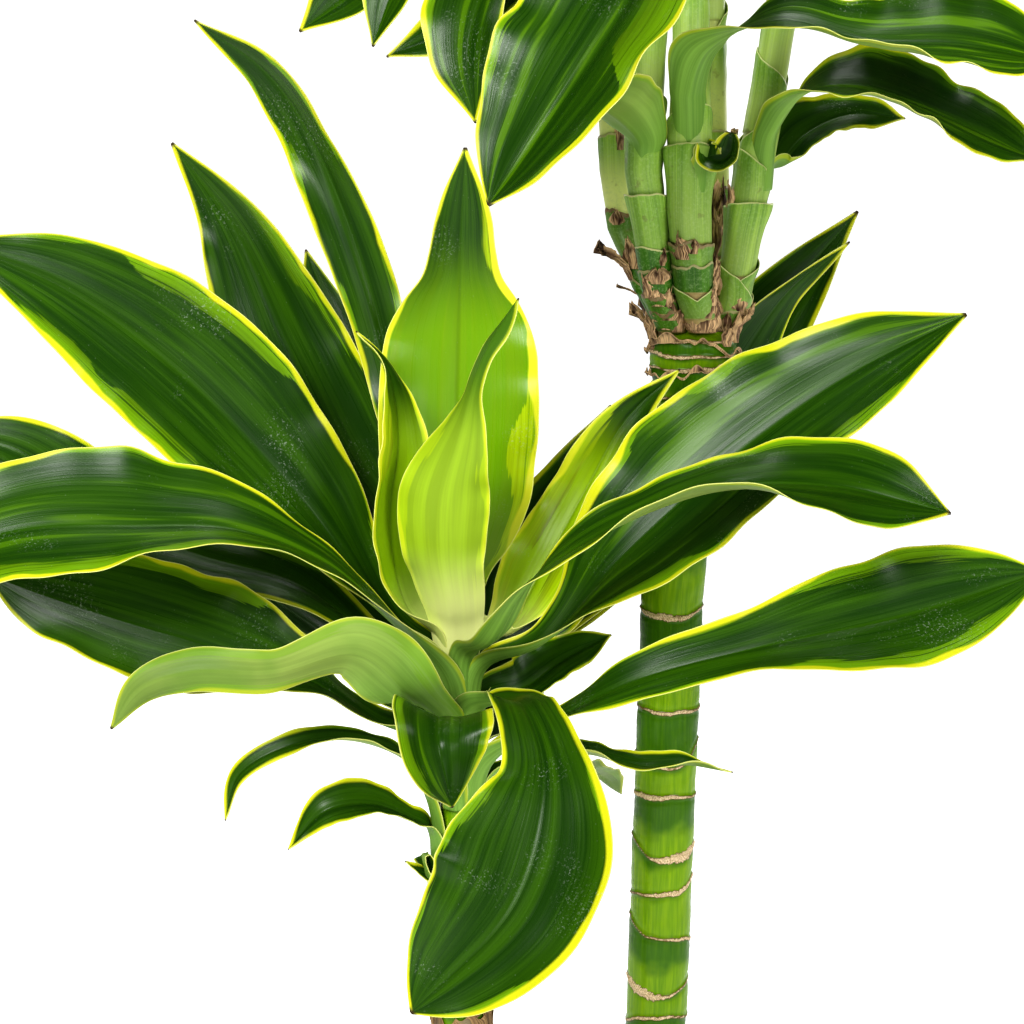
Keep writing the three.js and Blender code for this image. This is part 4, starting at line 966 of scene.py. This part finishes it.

# %% [markdown]
# ## The shoots
# Each shoot is a core stem, its sheaths, the leaves that the photograph shows and the four leaves of its
# head. A sheath's row gives where it starts and ends, which way it is highest, how far it drops to the other
# side, how far its mouth flares, and three shares: how much painted shade darkens it, how pale and how dry it
# is. A scrap's row gives where it stands, its heading, width and height, how it leans and how it curls.
# Higher up, where leaves hide the stem, sheaths follow by rule.

# %% Table of the shoots
SHOOTS = {
    "shoot_left_back": dict(
        axis=[(655, 55, 44), (676, 44, 57), (704, 32, 66), (733, 28, 70), (808, 25, 70), (872, 24, 73)],
        radii=[(655, 6), (704, 6.5), (808, 6), (872, 3)],
        head=(148, 28, 830),
        leaves=[
            ((25, 70, 812), 62, (-30, -50), (3, 1.5, 0), 0.6, [(0, 40, 863), (-38, 20, 866), (-74, 8, 842),
                (-102, 0, 816), (-123, -5, 799)]),
        ],
        sheaths=[(656, 678, 270, 2, 0.4, 1, 0, 0.8), (677, 692, 240, 3, 0.5, 0.9, 0, 1),
            (690, 713, 250, 2, 0.8, 0.75, 0.1, 1), (711, 752, 280, 5, 0.8, 0, 1, 0.5),
            (748, 806, 260, 10, 0.9, 0, 0.9, 0.1)],
        scraps=[(678, 190, 11, 26, 0.35, 0.9), (684, 232, 12, 15, 0.05, 0.5), (655, 208, 11, 24, -0.1, 0.25),
            (672, 196, 4, 12, 1, 0.3), (664, 225, 12, 18, 0, 0.4), (706, 250, 9, 8, 0.1, 0.5),
            (742, 300, 7, 30, -0.05, 0.3)],
    ),
    "shoot_left_front": dict(
        axis=[(655, 56, 29), (671, 49, 21), (705, 44, 14), (734, 40, 10), (805, 43, 10), (866, 43, 8)],
        radii=[(655, 7), (680, 8), (740, 8.5), (805, 7), (866, 3)],
        head=(212, 17, 836),
        leaves=[
            ((40, 10, 819), 48, (-30, -40), (3, 1.5, 0), 0.6, [(18, -5, 860), (-19, -20, 863),
                (-56, -30, 840), (-77, -34, 817), (-87, -36, 791)]),
            ((43, 10, 814), 44, (-30, -40), (3, 1.5, 0), 0.5, [(18, -20, 840), (-15, -40, 830),
                (-47, -50, 800), (-80, -52, 786)]),
            ((43, 10, 810), 58, (-5, -10), (3, 1.5, 0), 0.6, [(25, -22, 840), (-10, -46, 852),
                (-33, -74, 819), (-42, -84, 788), (-39, -86, 756)]),
            ((41, 12, 720), 46, (-10, -10), (3, 2, 0), 0.5, [(38, -2, 748), (20, -20, 763), (-1, -38, 767),
                (-19, -48, 758)]),
        ],
        sheaths=[(655, 665, 270, 2, 0.3, 0.9, 0, 1), (664, 675, 250, 2, 0.5, 0.8, 0, 1),
            (674, 686, 270, 1, 0.35, 1, 0, 0.7), (684.5, 697, 280, 1, 0.35, 1, 0, 0.3),
            (695, 723, 255, 2, 2.0, 0.3, 0.05, 0.3), (719, 760, 200, 22, 0.8, 0.3, 0.1, 0.1)],
        scraps=[(679, 268, 14, 11, 0.1, 1.3), (668, 250, 16, 10, 0.1, 0.8), (661, 270, 17, 10, 0.05, 0.7),
            (656, 240, 14, 11, 0.05, 0.6), (655, 285, 14, 12, 0.05, 0.6), (668, 288, 11, 9, 0, 0.6),
            (660, 208, 12, 16, 0.1, 0.5), (672, 225, 10, 12, 0.15, 0.6), (688, 290, 4, 9, 0.1, 0.5)],
    ),
    "shoot_middle_front": dict(
        axis=[(655, 70, 24), (677, 65, 16), (715, 62, 8), (772, 62, 6), (814, 62, 8), (880, 62, 8)],
        radii=[(655, 7.5), (677, 9), (700, 10), (740, 10.5), (772, 9), (814, 7.5), (880, 3)],
        head=(284, 24, 834),
        leaves=[
            ((62, 8, 819), 92, (5, 10), (3, 1.5, 0), "blunt", [(67, -35, 855), (57, -80, 860),
                (34, -118, 820), (0, -134, 768), (-33, -138, 721)]),
            ((62, 6, 744), 84, (75, 82), (4, 2, 0), "late", [(60, -8, 769), (67, -24, 790), (100, -38, 803),
                (140, -45, 793), (181, -48, 791), (226, -48, 783)]),
            ((63, 6, 724), 19, (26, 42), (0.3, 1, 0), "cupped", [(70, -5, 740), (76, -8, 739), (80, -10, 743),
                (81, -11, 752)]),
        ],
        sheaths=[(662, 686, 90, 14, 0.7, 0.55, 0.1, 0.1), (675, 689, 265, 2, 0.35, 0.95, 0, 0.6),
            (687, 701, 230, 4, 0.9, 0.5, 0.05, 0.9), (699, 747, 262, 6, 2.3, 0.2, 0.15, 0.2)],
        scraps=[(691, 238, 15, 13, 0.26, 0.1), (694, 272, 7, 8, 0.1, 0.9), (656, 238, 18, 15, -0.05, 0.3),
            (655, 270, 19, 12, -0.05, 0.4), (655, 305, 15, 20, -0.05, 0.2), (664, 322, 9, 26, -0.02, 0.15),
            (668, 335, 8, 18, 0, 0.3), (662, 296, 6, 16, 0.05, 0.4)],
    ),
    "shoot_middle_back": dict(
        axis=[(655, 69, 50), (680, 77, 60), (719, 79, 65), (798, 76, 66), (886, 77, 66)],
        radii=[(655, 6), (719, 6.5), (820, 6), (886, 3)],
        head=(76, 20, 838),
        leaves=[],
        sheaths=[(656, 692, 270, 4, 0.6, 0.8, 0, 1), (690, 726, 250, 6, 0.8, 0.3, 0.4, 1),
            (722, 754, 275, 6, 0.8, 0.05, 1, 0.6), (750, 800, 260, 8, 0.9, 0, 1, 0.2)],
        scraps=[(688, 250, 13, 34, 0, 0.2), (700, 285, 10, 26, 0.05, 0.3), (668, 270, 13, 22, 0.1, 0.4),
            (656, 262, 12, 24, 0.05, 0.2), (742, 310, 7, 14, 0.3, 0.8)],
    ),
    "shoot_right": dict(
        axis=[(655, 80.5, 38.5), (671, 86, 38), (700, 90, 36), (729, 94, 34), (763, 100, 34), (806, 107, 36),
            (870, 111, 37)],
        radii=[(655, 7.5), (671, 8.5), (740, 9), (806, 7), (870, 3)],
        head=(4, 28, 826),
        leaves=[
            ((97, 34, 724), 60, (52, 66), (4, 2, 0), 0.6, [(103, 20, 752), (117, 8, 771), (140, 0, 774),
                (178, -5, 761), (227, -12, 738)]),
            ((94, 34, 712), 34, (20, 30), (3, 2, 0), 0.5, [(108, 50, 736), (122, 58, 751), (145, 62, 761),
                (173, 64, 759)]),
        ],
        sheaths=[(655, 666, 290, 3, 0.4, 0.6, 0.1, 0.6), (660, 690, 178, 22, 1.2, 0.3, 0.12, 0.1),
            (670, 695, 90, 16, 0.9, 0.25, 0.15, 0.1), (682, 719, 290, 5, 2.2, 0.15, 0.2, 0.15),
            (712, 745, 200, 22, 1.2, 0.2, 0.2, 0.1)],
        scraps=[(664, 316, 13, 11, 0.1, 0.25), (655, 285, 10, 9, 0.05, 0.4), (711, 212, 7, 15, 0, 0.15),
            (655, 330, 9, 12, 0.2, 0.8), (655, 250, 10, 14, 0, 0.3), (655, 215, 11, 24, -0.05, 0.2),
            (672, 205, 8, 16, 0, 0.3)],
    ),
}
SHOOT_LOOKS = {
    ("shoot_left_front", 2): dict(lime=(6, 4), streaks=0.3),
    ("shoot_middle_front", 0): dict(lime=(27, 4), streaks=0.3),
    ("shoot_middle_front", 1): dict(lime=(4, 9), streaks=0.4),
    ("shoot_middle_front", 2): dict(lime=(2, 2)),
    ("shoot_right", 0): dict(lime=(5, 10), streaks=0.3),
}


# %% A shoot's core, upper sheaths and head
HEAD_LEAVES, HEAD_STEP = 4, 11
HEAD_LIME = (4, 6)
CORE_SIDES, CORE_STEP, CORE_INSET, CORE_SEAT = 32, 2.5, 0.4, 0.3
PAINTED_SHADE_BELOW = 720
SCRAP_SEAT = 1.25
SHEATH_EVERY = 21


def shoot_core(axis, radii):
    """The stem inside the sheaths, darkened at its foot with painted shade and pale above."""
    heights = np.arange(axis[0][0] + CORE_SEAT, axis[-1][0], CORE_STEP)
    # painted shade: the stem is darkened below this height
    dark = smooth((PAINTED_SHADE_BELOW - heights) / 30)[:, None] * np.ones((1, CORE_SIDES))
    core = round_stem(lambda z: centre_at(axis, z), lambda z: along_table(radii, z) - CORE_INSET, heights,
                      CORE_SIDES, sheath_skin, look=spread(dark, 0.2, dark, 0.5 * (1 - dark)))
    core.place[:, 2] = 50  # no point of it is near a rim
    return core


def upper_sheaths(axis, radii, z, heading, seed):
    """Sheath after sheath from height z up to the head."""
    patches = []
    while z < axis[-1][0] - 40:
        k = len(patches)
        patches.append(sheath(axis, radii, z, z + 34 + 8 * (k % 3), heading + 150 * k, 20, 1.1, 0, 0.4, 0.1,
                              seed=seed + k))
        z += SHEATH_EVERY
    return patches


def head_leaves(axis, heading, spread_degrees, start, seed):
    """Four leaves above each other: each next one is steeper and a little shorter."""
    patches = []
    for i, side in enumerate((-1, 1, 0.4, -0.3)):
        t, z = i / (HEAD_LEAVES - 1), start + i * HEAD_STEP
        x, y = centre_at(axis, z)
        a = math.radians(heading + spread_degrees * side)
        points = arch(x, y, z + 12, 6, a, 42 + 38 * t, -8 + 66 * t, 274 - 54 * t)
        patches.append(leaf((x, y, z), 3.5, points, 66 - 16 * t, (0, 0), (4, 2, 1.7 * i), WIDEST, heading=a,
                            seed=seed + i, lime=HEAD_LIME))
    return patches


# %% The shoots
def shoot(number, name, axis, radii, head, leaves, sheaths, scraps):
    patches = [shoot_core(axis, radii)]
    for k, row in enumerate(sheaths):
        patches.append(sheath(axis, radii, *row, seed=20 * number + k))
    highest = max(high for _, high, *_ in sheaths)
    patches += upper_sheaths(axis, radii, highest - 14, head[0], 20 * number + 10)
    for i, (foot, *form, points) in enumerate(leaves):
        look = SHOOT_LOOKS.get((name, i), dict(lime=HEAD_LIME))
        radius = along_table(radii, foot[2]) - 2
        patches.append(leaf(foot, radius, points, *form, seed=60 + 7 * number + i, **look))
    for k, (z, degrees, *size) in enumerate(scraps):
        x, y = centre_at(axis, z)
        a, r = math.radians(degrees), along_table(radii, z) + SCRAP_SEAT
        foot = (x + r * math.cos(a), y + r * math.sin(a), z)
        patches.append(scrap(foot, degrees, *size, seed=30 * number + k))
    patches += head_leaves(axis, *head, 110 + 9 * number)
    make_piece(name + "_dressed", patches, "shoot", name)


for number, (name, spec) in enumerate(SHOOTS.items()):
    shoot(number, name, **spec)

# %% [markdown]
# ## The canes
# A cane keeps a ring where each old leaf fell: a thin line of cork that stands out a little, seldom level and
# here and there widened to a tan patch. Between two rings the skin is bright lime, and under some rings it
# starts dark green. Every vertex is told how far it is from the nearest ring, how wide the tan patch is there
# and how deep in the dark it lies.

# %% Ring tables
# each ring: height in front, lift on the left and on the right, how far its tan patch widens and at what
# angle, and the share of the stretch below it that is dark
TALL_CANE = dict(
    axis=[(62, 44, 35), (185, 44, 35), (313, 51, 35), (521, 57, 35), (620, 65, 35.5), (655, 67, 37)],
    radius=15.5, top=655, crown_radius=21.5, crown_from=612, crown_over=34,
    rings=[
        (192, 2, -1, 0, 0, 0.3), (212, -2, 2, 2, 200, 0.5), (236, 3, 1, 0, 0, 0.1), (258, -1, 3, 3, 290, 0.5),
        (280, 3, -2, 0, 0, 0.3), (309, -5, -2, 1, 250, 0.5), (320, 7, 7, 5, 225, 0.1),
        (350, 10, -3, 1, 330, 0.5), (373, -2, 7, 2, 300, 0), (391, 11, 5, 5, 315, 0.2),
        (423, 0, -1, 2, 240, 0.55), (438, 5, 13, 2, 210, 0.1), (466, 2, 1, 1, 280, 0.9),
        (514, 3, 5, 3, 250, 0.5), (556, 2, -2, 2, 300, 0.4), (588, -2, 2, 1, 240, 0.6),
        (606, 2, 3, 3, 260, 0.4), (623, -1, 4, 1, 300, 0.2), (637, 1, 3, 2, 300, 0.7),
        (643.5, 2, 1, 1, 220, 0.2), (651, 2, 0, 1, 220, 0.9),
    ],
)
SHORT_RINGS = [
    (200, 2, -1, 0, 0, 0.5), (232, -2, 1, 0, 0, 0.5), (262, 1, 2, 0, 0, 0.5), (292, 2, 0, 0, 0, 0.5),
    (318, -2, 2, 0, 0, 0.5), (340, 2, -1, 0, 0, 0.5), (358, 2, 1, 0, 0, 0.2), (392, 1, 2, 1, 250, 0),
    (404, 2, 0, 1, 290, 0.2), (418, 0, 2, 1, 240, 0),
]
STRETCH = 30  # how long a stretch counts where no ring follows


# %% What a ring does to the skin
def ring_height(ring, angle):
    left, right = np.maximum(0, -np.cos(angle)), np.maximum(0, np.cos(angle))
    waver = 0.35 * np.sin(5 * angle + ring[0]) + 0.12 * np.sin(11 * angle + 2 * ring[0])
    return ring[0] + ring[1] * left**3 + ring[2] * right**3 + waver


def nearest_ring(rings, angle, z):
    """Distance to the nearest ring, its patch width there, and how deep in the dark patch a point is."""
    heights = np.stack([ring_height(ring, angle) + 0 * z for ring in rings])
    patches = [ring[3] * np.maximum(0, np.cos(angle - math.radians(ring[4]))) ** 2 + 0 * z for ring in rings]
    off = z[None] - heights
    nearest = np.abs(off).argmin(0)[None]
    below = np.where(off >= 0, heights, -np.inf).max(0)
    above = np.where(off < 0, heights, np.inf).min(0)
    below = np.where(np.isfinite(below), below, above - STRETCH)
    above = np.where(np.isfinite(above), above, below + STRETCH)
    depth = (above - z) / (above - below)
    shade = np.array([ring[5] for ring in rings])[np.where(off < 0, -off, np.inf).argmin(0)]
    distance = np.abs(np.take_along_axis(off, nearest, 0)[0])
    return distance, np.take_along_axis(np.stack(patches), nearest, 0)[0], shade - depth


def ring_relief(rings, angle, z, local):
    distance, patch, _ = nearest_ring(rings, angle, z)
    ridge = 0.7 * np.exp(-((distance / (0.65 + 0.3 * patch)) ** 2)) * (0.8 + 0.25 * rough(local, 9, 5))
    groove = -0.2 * np.exp(-(((distance - 2) / 1.2) ** 2))
    return ridge + groove + 0.22 * rough(local, 38, 6) + 0.06 * rough(local, 6, 7)


# %% Material: cane skin
CANE_GREEN, CANE_LIME = (0.125, 0.275, 0.001), (0.25, 0.41, 0.002)
# the third colour of the next line is painted shade beside each ring's ridge
DEEP_GREEN, DEEP_LIGHT, PAINTED_RING_SHADE = (0.040, 0.135, 0.001), (0.072, 0.185, 0.001), (0.030, 0.075, 0.002)
CORK_DARK, CORK_LIGHT, CORK_BORDER = (0.42, 0.29, 0.14), (0.86, 0.68, 0.44), (0.13, 0.06, 0.015)


def cane_material():
    paint, w = new_material("cane_skin", roughness=0.3, gloss=0.2)
    local = w.attribute("place")
    distance, patch, shade = w.three("trait")
    streak = w.noise(w.put("ShaderNodeMapping", local, None, None, (1.0, 1.0, 0.06)), 0.8, 3.0, 0.55)
    border = w.plus(shade, w.times(w.minus(w.noise(local, 0.10), 0.5), 0.5))
    border = w.plus(border, w.times(w.minus(streak, 0.5), 0.16))
    tone = w.between(streak, 0.22, 0.84)
    colour = w.mix(w.between(border, -0.22, 0.16), w.mix(tone, CANE_GREEN, CANE_LIME),
                   w.mix(tone, DEEP_GREEN, DEEP_LIGHT))
    cork_noise = w.noise(local, 0.5, 4.0, 0.65)
    reach = w.plus(0.46, w.times(patch, 0.42))
    beyond = w.minus(w.times(reach, w.between(cork_noise, 0.25, 0.75, 0.55, 1.5)), distance)
    cork = w.between(beyond, -0.12, 0.14)
    # painted shade: the skin darkens a little within about three millimetres of each ring
    colour = w.mix(w.times(w.between(distance, 3.2, 0.8), 0.30), colour, PAINTED_RING_SHADE)
    cork_tone = w.mix(w.between(w.noise(local, 1.6, 3.0), 0.35, 0.65), CORK_DARK, CORK_LIGHT)
    colour = w.mix(cork, colour, cork_tone)
    brown = w.times(w.between(beyond, -0.34, -0.10), w.between(beyond, 0.30, 0.05))
    colour = w.mix(w.times(brown, 0.75), colour, CORK_BORDER)
    height = w.plus(w.times(streak, 0.6), w.times(cork_noise, cork))
    return finish(paint, w, colour, w.between(cork, 0.0, 1.0, 0.27, 0.75), (0.6, 0.0004), height)


cane_skin = cane_material()

# %% The tall cane
CANE_STEP = 0.9
CANE_FOOT = [62, 100, 150]  # the rows below the soil's top are sparse


def cane(centre, width, last, top, sides, rings, fade=None):
    """A cane's skin, in even rows up to the height last and one at top. fade(z) can weaken its relief."""
    heights = np.concatenate([CANE_FOOT, np.arange(170, last, CANE_STEP), [top]])
    return round_stem(
        centre, width, heights, sides, cane_skin,
        relief=lambda a, z, local: ring_relief(rings, a, z, local) * (fade(z) if fade else 1),
        trait=lambda a, z: np.stack(nearest_ring(rings, a, z), 2),
    )


def tall_width(z):
    """The crown swells to its own radius and is rounded at the very top."""
    swell = smooth((z - TALL_CANE["crown_from"]) / TALL_CANE["crown_over"])
    round_top = 1 - 0.35 * smooth((z - 648) / 7) ** 2
    return (TALL_CANE["radius"] + (TALL_CANE["crown_radius"] - TALL_CANE["radius"]) * swell) * round_top


def tall_centre(z):
    return centre_at(TALL_CANE["axis"], z)


top = TALL_CANE["top"]
skin = cane(tall_centre, tall_width, top - CANE_STEP, top, 96, TALL_CANE["rings"])
make_piece("tall_cane_skin", [skin], "cane", "tall_cane")

# %% [markdown]
# ## The short cane
# This one is older at its foot: brown bark flakes off it in thin plates. Above the bark the stem is green and
# thin and carries the leaves. The plates are a second finish on the same piece: seventy of them stand off
# the stem and cover it up to where the green starts.

# %% The short cane and its bark
LEAN, LEAN_TOP, LEAN_OVER = 3, 385, 200
BARK_TOP, BARK_PLATES, PLATE_ROWS = 384, 70, 11
bark = dry_material("flaky_bark", (0.10, 0.060, 0.030), (0.38, 0.235, 0.095), (0.20, 0.16, 0.09), scale=0.55)


def short_centre(z):
    return SHORT_X + LEAN * smooth((LEAN_TOP - z) / LEAN_OVER), SHORT_Y + 0 * z


def short_width(z):
    return along_table(SHORT_TAPER, z)


def bark_plate(z, angle, wide, high, seed):
    """A thin plate of bark that hugs the cane and lifts at its upper and lower edge."""
    draw = np.random.default_rng(900 + seed)
    u = np.linspace(-1, 1, PLATE_ROWS)[None, :]
    t = np.linspace(0, 1, PLATE_ROWS)[:, None]
    height = z + high * (t - 0.5) * (1 + 0.15 * np.sin(5 * u + draw.uniform(0, 6)))
    height = np.minimum(height, BARK_TOP + 6)
    turn = angle + u * wide / 2 / SHORT_RADIUS * (1 + 0.25 * np.sin(6 * t + draw.uniform(0, 6)))
    lift = 0.5 + draw.uniform(0, 0.35) + 0.9 * np.abs(2 * t - 1) ** 4 * draw.uniform(0.2, 1.0) + 0.25 * u**4
    r = short_width(height) + lift
    edge = np.minimum(1 - np.abs(u), 1 - np.abs(2 * t - 1)) * high / 2
    grid = round_grid(*short_centre(height), r, turn, height)
    return closed_sheet(grid, 0.4 + 0 * turn, spread(turn, turn * r, height, edge),
                        spread(turn, 0, seed % PATTERNS, 0), 0 * grid, bark)


patches = [cane(short_centre, short_width, SHORT_TOP, SHORT_TOP, 80, SHORT_RINGS,
                fade=lambda z: smooth((430 - z) / 20))]
draw = np.random.default_rng(11)
for k in range(BARK_PLATES):
    z, angle = draw.uniform(176, BARK_TOP - 6), draw.uniform(0, FULL_TURN)
    patches.append(bark_plate(z, angle, draw.uniform(9, 20), draw.uniform(14, 34), k))
make_piece("short_cane_bark", patches, "cane", "short_cane")

# %% [markdown]
# ## Dry sheath remains
# Where the shoots leave the tall cane, torn papery collars are left of old leaf bases, and curled scraps
# stand between the shoots.


# %% Torn collars
COLLAR_COLUMNS, COLLAR_ROWS = 181, 17


def torn_collar(centre, inner, low, high, seed, flare, rise, peak):
    """A torn band round the cane. At the angle peak it climbs by rise and stands off further."""
    angle = np.linspace(0, FULL_TURN, COLLAR_COLUMNS)[None, :]
    t = np.linspace(0, 1, COLLAR_ROWS)[:, None]
    walk = round_grid(0, 0, 30, angle, 0)
    hump = np.maximum(0, np.cos(angle - math.radians(peak))) ** 3
    top = high - 2 + 2.6 * rough(walk, 24, seed) + rise * hump
    bottom = np.minimum(low + 1.5 + 1.8 * rough(walk, 30, seed + 1) + 0.7 * rise * hump, top - 1.2)
    z = bottom + (top - bottom) * t
    crease = 0.35 * rough(round_grid(0, 0, inner, angle, z) * (1, 1, 0.2), 12, seed + 2)
    r = inner + 0.5 + crease + flare * t**2 * (0.6 + 0.5 * rough(walk, 30, seed + 3) + hump)
    grid = round_grid(*centre, r, angle, z)
    place = spread(z, angle * inner, z, np.minimum(t, 1 - t) * (top - bottom))
    return closed_sheet(grid, 0.55 + 0 * z, place, spread(z, 0, seed, 0), 0 * grid, dry_paper)


# %% The dry remains
# scraps round the cane's top: angle, foot z, width, height, lean, curl
SCRAPS = [
    (196, 646, 10, 16, -0.05, 0.5), (318, 648, 9, 9, 0, 0.6), (345, 649, 12, 16, 0, 0.7),
    (8, 650, 12, 20, 0.1, 0.8), (40, 650, 12, 22, 0.2, 0.8), (72, 650, 14, 22, 0.2, 0.9),
    (105, 650, 13, 24, 0.15, 0.8), (140, 650, 14, 24, 0.2, 0.7), (170, 650, 11, 20, 0.1, 0.9),
]
RING_CENTRE, RING_RADIUS = (64.3, 35.45), 17.8
CROWN_CENTRE, CROWN_RADIUS = (66.6, 36.6), 22.4

ring = torn_collar(RING_CENTRE, RING_RADIUS, 602, 617, 31, 0.9, rise=14, peak=318)
make_piece("dry_sheath_ring_torn", [ring], "dry_sheath", "dry_sheath_ring")
patches = [torn_collar(CROWN_CENTRE, CROWN_RADIUS, 632, 637, 47, 1.1, rise=5, peak=310),
           torn_collar(CROWN_CENTRE, CROWN_RADIUS, 644, 648, 53, 1.2, rise=9, peak=252)]
for k, (degrees, z, *size) in enumerate(SCRAPS):
    a = math.radians(degrees)
    foot = (CROWN_CENTRE[0] + CROWN_RADIUS * math.cos(a), CROWN_CENTRE[1] + CROWN_RADIUS * math.sin(a), z)
    patches.append(scrap(foot, degrees, *size, seed=k))
make_piece("dry_sheath_crown_torn", patches, "dry_sheath", "dry_sheath_crown")

# %% [markdown]
# ## Pot and soil
# The pot is a plain moulded plastic one with a band under its rim. A lathe makes it from one profile, with
# small rounds at every edge that catch the light. The soil keeps its solid, and bark chips cover its top.


# %% Material: pot plastic
def pot_material():
    paint, w = new_material("pot_plastic", roughness=0.5, gloss=0.45)
    position = w.position()
    grain = w.noise(position, 900.0, 3.0, 0.6)
    cloud = w.between(w.noise(position, 14.0, 3.0, 0.6), 0.35, 0.68)
    colour = w.mix(cloud, (0.030, 0.031, 0.033), (0.048, 0.049, 0.052))
    dust = w.between(w.noise(position, 60.0, 4.0, 0.7), 0.60, 0.74, 0.0, 0.30)
    colour = w.mix(dust, colour, (0.16, 0.14, 0.11))
    return finish(paint, w, colour, w.between(grain, 0.3, 0.7, 0.42, 0.60), (0.25, 0.0003), grain)


# %% The pot's profile
HEIGHT, RIM, FOOT, WALL, FLOOR, BAND, STEP = 185, 105, 75, 3.5, 5, 24, 4
INNER, BAND_LOW = RIM - STEP - WALL, HEIGHT - BAND
POT_SIDES = 144


def arc(radius, z, size, start, end, count=5):
    """A small round of the profile: its centre, its size and the degrees where it starts and ends."""
    turns = [math.radians(a) for a in np.linspace(start, end, count)]
    return [(radius + size * math.cos(a), z + size * math.sin(a)) for a in turns]


def wall(start, end, low, high, shares):
    """Points of a straight wall, at shares of the way from one end to the other."""
    return [(start + (end - start) * share, low + (high - low) * share) for share in shares]


profile = [(FOOT - 4, 0.0)] + arc(FOOT - 3.4, 4, 4, -80, -8)
profile += wall(FOOT + 0.7, RIM - STEP, 4, BAND_LOW - 3, np.linspace(0.04, 0.97, 12))
profile += [(RIM - STEP, BAND_LOW - 3), (RIM - 1.2, BAND_LOW - 0.8)]
profile += arc(RIM - 0.8, BAND_LOW + 0.4, 0.8, -60, 0, 3) + arc(RIM - 2, HEIGHT - 2, 2, 0, 90)
profile += arc(INNER + 1.2, HEIGHT - 1.2, 1.2, 90, 180) + [(INNER, BAND_LOW), (INNER, BAND_LOW - 3)]
profile += wall(FOOT - 2.8, INNER, FLOOR, BAND_LOW - 3, np.linspace(0.97, 0.04, 6)) + [(FOOT - 4.4, FLOOR)]

# %% The pot on a lathe
radius, z = np.array(profile).T[..., None]
angle = np.linspace(0, FULL_TURN, POT_SIDES, endpoint=False)[None, :]
points = round_grid(0, 0, radius, angle, z).reshape(-1, 3)
body = Patch(points, ring_faces(len(profile), POT_SIDES), points, 0 * points, 0 * points, pot_material())
make_piece("pot_moulded", [body], "pot", "pot")


# %% Material: soil and chips
def soil_material(name, dark, light):
    paint, w = new_material(name, roughness=0.9, gloss=0.2)
    grain = w.noise(w.position(), 420.0, 5.0, 0.7)
    patch = w.between(w.noise(w.position(), 45.0, 3.0, 0.6), 0.42, 0.62, 0.0, 0.5)
    colour = w.mix(patch, w.mix(w.between(grain, 0.38, 0.62), dark, light), dark)
    return finish(paint, w, colour, None, (0.9, 0.0012), grain)


# %% A lump with twenty faces
GOLD = (1 + 5**0.5) / 2
BALL = np.array([(-1, GOLD, 0), (1, GOLD, 0), (-1, -GOLD, 0), (1, -GOLD, 0), (0, -1, GOLD), (0, 1, GOLD),
                 (0, -1, -GOLD), (0, 1, -GOLD), (GOLD, 0, -1), (GOLD, 0, 1), (-GOLD, 0, -1), (-GOLD, 0, 1)])
BALL /= np.linalg.norm(BALL[0])
BALL_FACES = np.array([
    (0, 11, 5), (0, 5, 1), (0, 1, 7), (0, 7, 10), (0, 10, 11), (1, 5, 9), (5, 11, 4), (11, 10, 2), (10, 7, 6),
    (7, 1, 8), (3, 9, 4), (3, 4, 2), (3, 2, 6), (3, 6, 8), (3, 8, 9), (4, 9, 5), (2, 4, 11), (6, 2, 10),
    (8, 6, 7), (9, 8, 1)])

# %% Soil and bark chips
SOIL_LEVEL, SOIL_MOUND, SOIL_RADIUS = 170, 5, 93
CHIPS = 900
CANES = np.array([(SHORT_X + LEAN, SHORT_Y), (44, 35)])
CANE_CLEARANCE = 17


def chip(draw, size, x, y, level, finish_of):
    """One angular lump, squashed, turned and tilted at random."""
    lump = BALL * size * draw.uniform(0.7, 1.35, (12, 1)) * np.array([1.3, 1, 0.6])
    turn, tilt = draw.uniform(0, FULL_TURN), draw.uniform(-0.6, 0.6)
    c, s, d, e = math.cos(turn), math.sin(turn), math.cos(tilt), math.sin(tilt)
    lump = lump @ np.array([[1, 0, 0], [0, d, -e], [0, e, d]]) @ np.array([[c, -s, 0], [s, c, 0], [0, 0, 1]])
    points = lump + (x, y, level)
    return Patch(points, [BALL_FACES], points, 0 * points, 0 * points, finish_of[draw.integers(0, 2)])


def chips():
    """Angular lumps of bark in all sizes, half sunk in the soil and clear of canes and pot."""
    draw = np.random.default_rng(5)
    finishes = [soil_material("dark_bark_chip", (0.022, 0.013, 0.008), (0.10, 0.055, 0.028)),
                soil_material("brown_bark_chip", (0.06, 0.030, 0.014), (0.22, 0.12, 0.055))]
    patches = []
    while len(patches) < CHIPS:
        size = draw.uniform(1.4, 5.2) * draw.uniform(0.6, 1)
        r, a = (SOIL_RADIUS - size * 1.4) * draw.uniform(0, 1) ** 0.5, draw.uniform(0, FULL_TURN)
        x, y = r * math.cos(a), r * math.sin(a)
        if np.hypot(*(CANES - (x, y)).T).min() >= CANE_CLEARANCE + size * 1.5:
            level = SOIL_LEVEL + SOIL_MOUND * (1 - r / SOIL_RADIUS) + 0.1 * size
            patches.append(chip(draw, size, x, y, level, finishes))
    return patches


make_piece("soil_chips", chips(), "soil").data.shade_flat()
soil_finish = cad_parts["soil"].data.materials
soil_finish.clear()
soil_finish.append(soil_material("potting_soil", (0.014, 0.009, 0.006), (0.055, 0.034, 0.020)))

# %% [markdown]
# ## Sizes
# The dressed plant has to fill the same box as its solids. Both boxes are printed, in millimetres.

# %% Print both boxes
dressed_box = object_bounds()
boxes = {"cad": [list(corner) for corner in cad_box], "visual": [list(corner) for corner in dressed_box]}
for name, (low, high) in boxes.items():
    print(name, "box, mm:", [round(1000 * (b - a)) for a, b in zip(low, high)])
